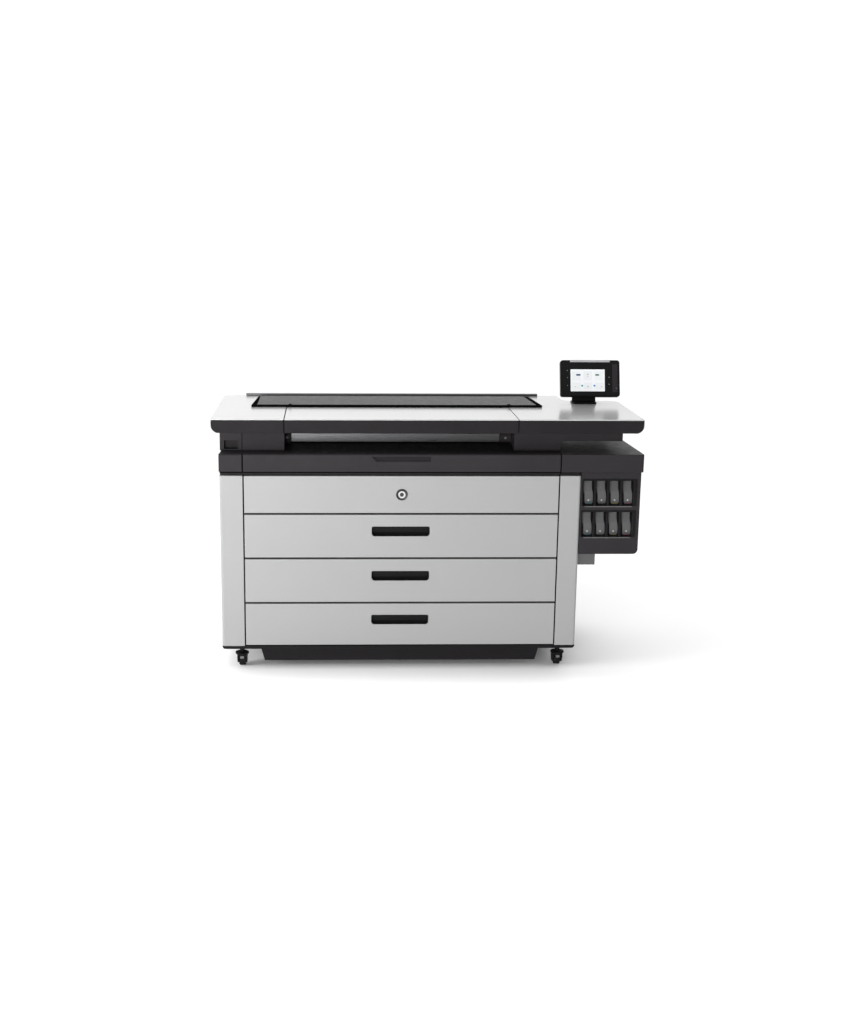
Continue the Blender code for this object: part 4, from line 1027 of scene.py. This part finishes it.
def band_seam_shade():
    """Black behind the two upright seams in the band: painted shade, so that they read as deep gaps."""
    flap_low, flap_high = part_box("access_flap")
    z0, z1 = flap_low.z + MM, flap_high.z - 2 * MM
    y0, y1 = flap_low.y + 2.2 * MM, flap_low.y + 4 * MM
    cap_right = flap_low.x - 3 * MM
    head_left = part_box("ink_head")[0].x
    reach = SEAM_MARGIN - 0.3 * MM
    left = boxes("band_seam_left", ((cap_right + 0.1 * MM, y0, z0), (flap_low.x + reach, y1, z1)))
    right = boxes("band_seam_right", ((flap_high.x - reach, y0, z0), (head_left - 0.1 * MM, y1, z1)))
    put(joined("band_seam_painted_shade", [left, right]), "painted_shade_black", "cabinet")


def split_housing(cad_node):
    """A head housing as its tower and its apron, which meet at the apron's lower edge; the apron takes the charcoal's
    darker copy, painted shade.
    """
    bm = bmesh.new()
    bm.from_mesh(frame["nodes"][cad_node].data)
    tower = settled(made(cad_node + "_tower", bm))
    bm = bmesh.new()
    bm.from_mesh(frame["nodes"][cad_node].data)
    apron = settled(made(cad_node + "_apron", bm))
    low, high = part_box(cad_node)
    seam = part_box("hood_apron")[0].z - 0.4 * MM
    margin = Vector((MM, MM, MM))
    carved(tower, boxes("upper", (Vector((low.x, low.y, seam)) - margin * 0.5, high + margin)))
    carved(apron, boxes("lower", (low - margin, Vector((high.x, high.y, seam)) + margin * 0.5)))
    put(soften(tower, 1.2 * MM), "charcoal", "cabinet", cad_node)
    put(soften(apron, 1.2 * MM), "charcoal_painted_shade", "cabinet")


def engine():
    refined("platen_deck", 1.0 * MM)
    outlet_ribs()
    access_flap()
    band_seam_shade()
    refined("output_bar", 0.5 * MM)
    output_roller()
    bearing_pins()
    print_heads()
    for side in ("left", "right"):
        split_housing(f"head_housing_{side}")


# Top

LID_BORDER = ((28 * MM, 9 * MM), (27 * MM, 24 * MM))  # left and right, each at the front and the rear


def lid():
    """A black shell with a grey skin that stops short of its sides, and two small catches."""
    refined("rear_lid", 1.5 * MM, 3, finish="lid_black")
    low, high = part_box("rear_lid")
    points = [v.co for v in frame["nodes"]["rear_lid"].data.vertices]
    front = [p.x for p in points if p.y < low.y + MM]
    rear = [p.x for p in points if p.y > high.y - MM]
    (left_front, left_rear), (right_front, right_rear) = LID_BORDER
    outline = filleted(
        [
            (min(front) + left_front, low.y + 10 * MM, 4 * MM),
            (max(front) - right_front, low.y + 10 * MM, 4 * MM),
            (max(rear) - right_rear, high.y - 3 * MM, 4 * MM),
            (min(rear) + left_rear, high.y - 3 * MM, 4 * MM),
        ]
    )
    skin = prism("rear_lid_skin", outline, "Z", high.z - MM, high.z + 0.8 * MM)
    put(soften(skin, 0.6 * MM), "lid_grey", "lid")
    hood_low, hood_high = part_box("hood_panel")
    covers = []
    for x in (hood_low.x + 17 * MM, hood_high.x + 1 * MM):
        outline = rectangle((x - 7 * MM, low.y + 3 * MM), (x + 7 * MM, low.y + 24 * MM), 4 * MM, 4)
        covers.append(prism("cover", outline, "Z", high.z, high.z + 5 * MM))
    put(soften(joined("lid_catches", covers), 1.5 * MM, 3), "black_plastic", "lid")


def top():
    for cad_node in ("top_cover_left", "top_cover_right"):
        refined(cad_node, 1.5 * MM, 3)
    refined("hood_panel", 1.5 * MM, 3, narrowed(SEAM_MARGIN))
    # The hood's apron in the charcoal's darker copy: painted shade.
    refined("hood_apron", 1.2 * MM, 2, narrowed(SEAM_MARGIN), "charcoal_painted_shade")
    refined("rear_rail", 2.0 * MM, 3)
    lid()
    hood_seam_shade()


def hood_seam_shade():
    """Black under the two seams beside the hood: painted shade, so that they read as gaps."""
    low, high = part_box("hood_panel")
    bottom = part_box("hood_apron")[0].z + MM
    y0, y1, top_z = low.y + 2 * MM, high.y - MM, high.z - 2 * MM
    inner, outer = SEAM_MARGIN - 0.3 * MM, 0.9 * MM
    strips = [
        boxes("strip", ((low.x - outer, y0, bottom), (low.x + inner, y1, top_z))),
        boxes("strip", ((high.x - inner, y0, bottom), (high.x + outer, y1, top_z))),
    ]
    put(joined("hood_seam_painted_shade", strips), "painted_shade_black", "cabinet")


# Ink cabinet

INKS = ("cyan", "black", "yellow", "magenta")
SHELL_DEPTH = 14 * MM


def cartridge(row, ink):
    """An ink cartridge: a black body, and a grey front that narrows towards a dot and a colour mark."""
    cad_node = f"ink_cartridge_{row}_{ink}"
    body = body_of(cad_node)
    (x0, y0, z0), (x1, y1, z1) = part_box(cad_node)
    case_outline = rectangle((x0, z0), (x1, z1), 2 * MM, 3)
    case = prism(cad_node + "_case", case_outline, "Y", y0 + SHELL_DEPTH - 2 * MM, y1)
    put(soften(case, 0.8 * MM), "black_plastic", body)
    outline = filleted(
        [
            (x0 + 0.5 * MM, z1 - 0.5 * MM, 2 * MM),
            (x0 + 1 * MM, z1 - 30 * MM, 30 * MM),
            (x0 + 9 * MM, z0 + 46 * MM, 30 * MM),
            (x0 + 11 * MM, z0 + 2 * MM, 9 * MM),
            (x1 - 0.5 * MM, z0 + 2 * MM, 9 * MM),
            (x1 - 0.5 * MM, z0 + 46 * MM, 30 * MM),
            (x1 - 7 * MM, z1 - 34 * MM, 30 * MM),
            (x1 - 7 * MM, z1 - 0.5 * MM, 2 * MM),
        ],
        6,
    )
    shell = prism(cad_node + "_front", outline, "Y", y0 - MM, y0 + SHELL_DEPTH)
    side = filleted(
        [
            (y0 + SHELL_DEPTH + MM, z1),
            (y0 + 9 * MM, z1),
            (y0 + 0.5 * MM, z0 + 62 * MM, 60 * MM),
            (y0 + 0.5 * MM, z0 + 22 * MM, 30 * MM),
            (y0 + 5 * MM, z0),
            (y0 + SHELL_DEPTH + MM, z0),
        ]
    )
    common(shell, prism("side", side, "X", x0 - MM, x1 + MM))
    put(soften(shell, 2.0 * MM, 3), "cartridge_grey", body, cad_node)
    dot_place = (x0 + 28 * MM, y0 + MM, z0 + 21 * MM)
    dot = rod(cad_node + "_dot", -1.2 * MM, 2 * MM, 3.6 * MM, dot_place, "Y", 20, 0.5 * MM)
    put(dot, "mark_white", body)
    # The colour mark's ink is darkened with painted shade.
    mark_outline = rectangle((x0 + 18 * MM, z0 + 3.5 * MM), (x1 - 8 * MM, z0 + 8 * MM), 1.5 * MM, 3)
    mark = prism(cad_node + "_mark", mark_outline, "Y", y0 + 2.4 * MM, y0 + 6 * MM)
    put(mark, f"ink_{ink}", body)


BAY_PLAY = 1.5 * MM  # from a cartridge to its bay's wall
FRAME_RIM = (7 * MM, 9 * MM)  # the dark frame beside and above the bays


def bay_frame(row, housing_low, housing_high):
    """A dark frame round a row of bays, with a thin ridge between each two."""
    frame_boxes = [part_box(f"ink_cartridge_{row}_{ink}") for ink in INKS]
    x0, x1 = frame_boxes[0][0].x, frame_boxes[-1][1].x
    z0, z1 = frame_boxes[0][0].z, frame_boxes[0][1].z
    low = (max(x0 - FRAME_RIM[0], housing_low.x + MM), z0 - 3 * MM)
    high = (min(x1 + 16 * MM, housing_high.x - 3 * MM), z1 + FRAME_RIM[1] + 5.5 * MM)
    outer = rectangle(low, high, 5 * MM, 4)
    front = housing_low.y - MM
    plate = prism(f"ink_bays_{row}", outer, "Y", front, front + 1.4 * MM)
    holes = []
    for cell_low, cell_high in frame_boxes:
        corner = (cell_low.x - BAY_PLAY, cell_low.z - 0.3 * MM)
        far = (cell_high.x + BAY_PLAY, cell_high.z + 5.5 * MM)
        holes.append(prism("hole", rectangle(corner, far, 3 * MM, 4), "Y", front - MM, front + 3 * MM))
    carved(plate, *holes)
    put(soften(plate, 0.5 * MM), "black_plastic", "cabinet")


def ink_cabinet():
    refined("ink_head", 2.0 * MM, 3)
    refined("ink_housing", 1.2 * MM)
    refined("ink_bracket", 1.0 * MM, finish="bracket_steel")
    for row in ("upper", "lower"):
        for ink in INKS:
            cartridge(row, ink)
    housing_low, housing_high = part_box("ink_housing")
    strips = []
    for row in ("upper", "lower"):
        bay_frame(row, housing_low, housing_high)
        first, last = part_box(f"ink_cartridge_{row}_cyan"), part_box(f"ink_cartridge_{row}_magenta")
        z = first[0].z
        strips.append(
            boxes(
                "strip",
                ((first[0].x + 8 * MM, housing_low.y - 0.7 * MM, z - 7 * MM), (last[1].x - 6 * MM, housing_low.y + MM, z - 4 * MM)),
            )
        )
    put(soften(joined("ink_label_strips", strips), 0.3 * MM), "label_grey", "cabinet")


# Control panel

TILT = math.radians(17)
SCREEN = (48.5 * MM, 73.5 * MM, 45.5 * MM, 25.5 * MM)  # its margins in the housing: left, right, top, bottom


def tilt_pin():
    joint = next(item for item in frame["joints"] if item["name"] == "panel_tilt")
    return Vector(joint["pos_m"])


def upright_box(cad_node):
    """A tilted node's box before its tilt about the pin."""
    pin = tilt_pin()
    back = Matrix.Rotation(TILT, 3, "X")
    points = [back @ (v.co - pin) + pin for v in frame["nodes"][cad_node].data.vertices]
    low = Vector([min(p[axis] for p in points) for axis in range(3)])
    high = Vector([max(p[axis] for p in points) for axis in range(3)])
    return low, high


def tilted(piece):
    return turn_about(piece, tilt_pin(), Matrix.Rotation(-TILT, 3, "X"))


def on_screen(name, outline, front, depth):
    return tilted(prism(name, outline, "Y", front - depth, front + 0.3 * MM))


def screen():
    """The lit screen on the glass, with plain tiles and marks."""
    low, high = upright_box("panel_housing")
    face = upright_box("panel_glass")[0].y
    left, right, above, below = SCREEN
    x0, x1 = low.x + left, high.x - right
    z0, z1 = low.z + below, high.z - above
    put(on_screen("screen_image", rectangle((x0, z0), (x1, z1), 2 * MM, 3), face, 0.15 * MM), "screen_white", "panel_head")
    column = (x1 - x0) / 3
    tiles = []
    for index in range(3):
        for bottom, top_edge in ((0.10, 0.40), (0.50, 0.90)):
            a, b = x0 + index * column + 7 * MM, x0 + (index + 1) * column - 7 * MM
            c, d = z0 + bottom * (z1 - z0), z0 + top_edge * (z1 - z0)
            tiles.append(on_screen("tile", rectangle((a, c), (b, d), 3 * MM, 3), face, 0.3 * MM))
    put(joined("screen_tiles", tiles), "screen_tile", "panel_head")
    marks = {
        "screen_navy": ((38, 27, 11, 4),),
        "screen_green": ((130, 27, 10, 4),),
        "screen_teal": ((56, 80, 5, 5),),
        "screen_blue": ((116, 80, 5, 5),),
        "screen_grey": ((84, 24, 5, 3), (84, 34, 3, 3), (84, 84, 4, 4), (22, 84, 2.5, 2.5), (150, 84, 2.5, 2.5)),
    }
    for name, spots in marks.items():
        pieces = []
        for across, down, half_width, half_height in spots:
            x, z = x0 + across * MM, z1 - down * MM
            a, b = half_width * MM, half_height * MM
            outline = rectangle((x - a, z - b), (x + a, z + b), b * 0.98, 6)
            pieces.append(on_screen("mark", outline, face, 0.45 * MM))
        put(joined(name + "_marks", pieces), name, "panel_head")


def bezel_marks():
    """The status strip along the top edge, a brighter band, and small lamps."""
    low, high = upright_box("panel_housing")
    face = upright_box("panel_glass")[0].y
    strip = boxes("beacon", ((low.x + 47 * MM, low.y - 0.6 * MM, high.z - 10 * MM), (low.x + 241 * MM, low.y + 14 * MM, high.z + 0.8 * MM)))
    put(soften(tilted(strip), 1.0 * MM), "beacon", "panel_head")
    band = rectangle((high.x - 36 * MM, low.z + 22 * MM), (high.x - 11 * MM, high.z - 20 * MM), 5 * MM, 5)
    put(on_screen("bezel_band", band, face, 0.5 * MM), "charcoal", "panel_head")
    lamps = []
    spots = [(33 * MM, 51 * MM), (33 * MM, 86 * MM), (33 * MM, 124 * MM), (236 * MM, 84 * MM), (236 * MM, 118 * MM), (272 * MM, 138 * MM)]
    for across, down in spots:
        x, z = low.x + across, high.z - down
        outline = rectangle((x - 2.5 * MM, z - 2.5 * MM), (x + 2.5 * MM, z + 2.5 * MM), 2.45 * MM, 6)
        lamps.append(on_screen("lamp", outline, face, 0.9 * MM))
    put(joined("bezel_lamps", lamps), "label_grey", "panel_head")


def control_panel():
    refined("panel_foot", 2.0 * MM, 3)
    refined("panel_neck", 1.5 * MM)
    refined("panel_housing", 1.5 * MM, 3)
    refined("panel_glass", 0.4 * MM)
    screen()
    bezel_marks()


# Casters

TREAD_GROOVE = 0.8 * MM


def caster(place):
    """A fork with a brake pedal and axle caps, and a wheel with a grooved tread and a stepped hub."""
    fork = f"caster_fork_{place}"
    wheel = f"caster_wheel_{place}"
    refined(fork, 1.5 * MM, 3)
    (x0, y0, z0), (x1, y1, z1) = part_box(wheel)
    centre = Vector(((x0 + x1) / 2, (y0 + y1) / 2, (z0 + z1) / 2))
    radius = (z1 - z0) / 2
    half = (x1 - x0) / 2
    hub = 14 * MM
    profile = [
        (-half, 4.4 * MM),
        (-half, 9 * MM),
        (-half + 3 * MM, 10 * MM),
        (-half + 3 * MM, hub + 3 * MM),
        (-half, hub + 5 * MM),
        (-half, radius - 3 * MM),
        (-half + 1.2 * MM, radius - 1.0 * MM),
        (-half + 4 * MM, radius),
        (-5 * MM, radius),
        (-4 * MM, radius - TREAD_GROOVE),
        (-3 * MM, radius),
        (3 * MM, radius),
        (4 * MM, radius - TREAD_GROOVE),
        (5 * MM, radius),
        (half - 4 * MM, radius),
        (half - 1.2 * MM, radius - 1.0 * MM),
        (half, radius - 3 * MM),
        (half, hub + 5 * MM),
        (half - 3 * MM, hub + 3 * MM),
        (half - 3 * MM, 10 * MM),
        (half, 9 * MM),
        (half, 4.4 * MM),
    ]
    tyre = turned(wheel + "_tyre", profile, centre, sides=56, closed=True)
    put(tyre, "wheel_black", body_of(wheel), wheel)
    cheek = 23 * MM
    caps = [
        rod("cap", start, start + 4 * MM, 5.5 * MM, (centre.x, centre.y, centre.z), "X", 24, 0.8 * MM)
        for start in (-cheek - 0.4 * MM, cheek - 3.6 * MM)
    ]
    put(joined(fork + "_axle_caps", caps), "black_steel", body_of(fork))
    swivel = next(item for item in frame["joints"] if item["name"] == f"caster_{place}_swivel")["pos_m"]
    back = math.copysign(1, centre.y - swivel[1])
    x, front_y = swivel[0], swivel[1] - back * 22 * MM
    near, far = sorted((front_y - back * 1.2 * MM, front_y + back * MM))
    # A light grey patch on the fork's front: a painted highlight for the sheen on the fork's crown.
    plate = prism(fork + "_plate", rectangle((x - 9 * MM, 43 * MM), (x + 9 * MM, 55 * MM), 3 * MM, 4), "Y", near, far)
    put(soften(plate, 0.5 * MM), "label_grey", body_of(fork))
    y = centre.y + back * 20 * MM
    pedal = filleted(
        [
            (y, 54 * MM),
            (y, 48 * MM),
            (y + back * 17 * MM, 42 * MM, 1.5 * MM),
            (y + back * 19 * MM, 47 * MM, 1.5 * MM),
        ]
    )
    put(soften(prism(fork + "_brake", pedal, "X", x - 12 * MM, x + 12 * MM), MM), "charcoal", body_of(fork))


def casters():
    for end in ("front", "rear"):
        for side in ("left", "right"):
            caster(f"{end}_{side}")


# Studio


FLOOR_SIZE = 60


# The surround: directions, the part of their range that it brightens over, and how bright
SURROUND = (((-1, 0, 0), -0.7, 0.7, 0.44), ((0, 1, 0), -0.3, 0.8, 1.22), ((0, 0, 1), 0.0, 0.9, 0.535))


def studio():
    """A pale floor and a surround that is bright behind, to the left and above, with three soft lights."""
    bm = bmesh.new()
    bmesh.ops.create_grid(bm, x_segments=1, y_segments=1, size=FLOOR_SIZE / 2)
    floor = made("floor", bm)
    floor.data.materials.append(surface("floor_white", (0.93, 0.93, 0.93), 0.6, vary=0.004, vary_size=1.5, grain=0.0))
    floor_front_painted_light(floor.data.materials[0])
    world = bpy.data.worlds.new("surround")
    world.use_nodes = True
    tree = world.node_tree
    direction = node(tree, "ShaderNodeTexCoord").outputs["Generated"]
    total = None
    for side, low, high, strength in SURROUND:
        toward = node(tree, "ShaderNodeVectorMath", {"operation": "DOT_PRODUCT"})
        tree.links.new(direction, toward.inputs[0])
        toward.inputs[1].default_value = side
        level = node(
            tree,
            "ShaderNodeMapRange",
            {"interpolation_type": "SMOOTHSTEP"},
            Value=toward.outputs["Value"],
            From_Min=low,
            From_Max=high,
            To_Min=0.0,
            To_Max=strength,
        ).outputs["Result"]
        if total:
            sum_of = node(tree, "ShaderNodeMath", {"operation": "ADD"})
            tree.links.new(level, sum_of.inputs[0])
            tree.links.new(total, sum_of.inputs[1])
            level = sum_of.outputs["Value"]
        total = level
    background = tree.nodes["Background"]
    background.inputs["Color"].default_value = (1, 1, 1, 1)
    tree.links.new(total, background.inputs["Strength"])
    bpy.context.scene.world = world
    area_light("front_fill", (-1.8, -6.8, 1.2), (0, 0, 0.6), 3.0, 324)
    area_light("left_fill", (-4.0, -1.5, 1.6), (-0.6, 0, 0.8), 2.0, 121)
    area_light("top_fill", (-1.2, -1.6, 3.4), (-0.1, 0, 1.0), 2.0, 17)


def floor_front_painted_light(material):
    """Painted light: the floor glows a little in front of the object, and washes out the shadow that falls there."""
    tree = material.node_tree
    place = node(tree, "ShaderNodeSeparateXYZ", Vector=node(tree, "ShaderNodeTexCoord").outputs["Object"])
    level = node(
        tree,
        "ShaderNodeMapRange",
        {"interpolation_type": "SMOOTHSTEP"},
        Value=place.outputs["Y"],
        From_Min=-0.42,
        From_Max=-0.75,
        To_Min=0.0,
        To_Max=0.32,
    )
    shader = next(item for item in tree.nodes if item.type == "BSDF_PRINCIPLED")
    shader.inputs["Emission Color"].default_value = (1, 1, 1, 1)
    tree.links.new(level.outputs["Result"], shader.inputs["Emission Strength"])


def area_light(name, place, target, size, power):
    lamp = bpy.data.lights.new(name, "AREA")
    lamp.shape = "DISK"
    lamp.size = size
    lamp.energy = power
    holder = bpy.data.objects.new(name, lamp)
    holder.location = place
    holder.rotation_euler = (Vector(target) - Vector(place)).to_track_quat("-Z", "Y").to_euler()
    bpy.context.scene.collection.objects.link(holder)
    return holder


def camera():
    """From the front, a little left of the middle and above the top."""
    lens = bpy.data.cameras.new("camera")
    lens.lens = 46.9155
    lens.sensor_width = 36
    lens.shift_x = 0.0496
    holder = bpy.data.objects.new("camera", lens)
    holder.location = (-0.4341, -6.3762, 2.1155)
    holder.rotation_euler = (math.radians(90 - 12.8079), math.radians(-0.3815), math.radians(-1.7423))
    bpy.context.scene.collection.objects.link(holder)
    bpy.context.scene.camera = holder
    bpy.context.scene.view_settings.view_transform = "Standard"


camera()
studio()
cabinet()
drawers()
engine()
top()
ink_cabinet()
control_panel()
casters()
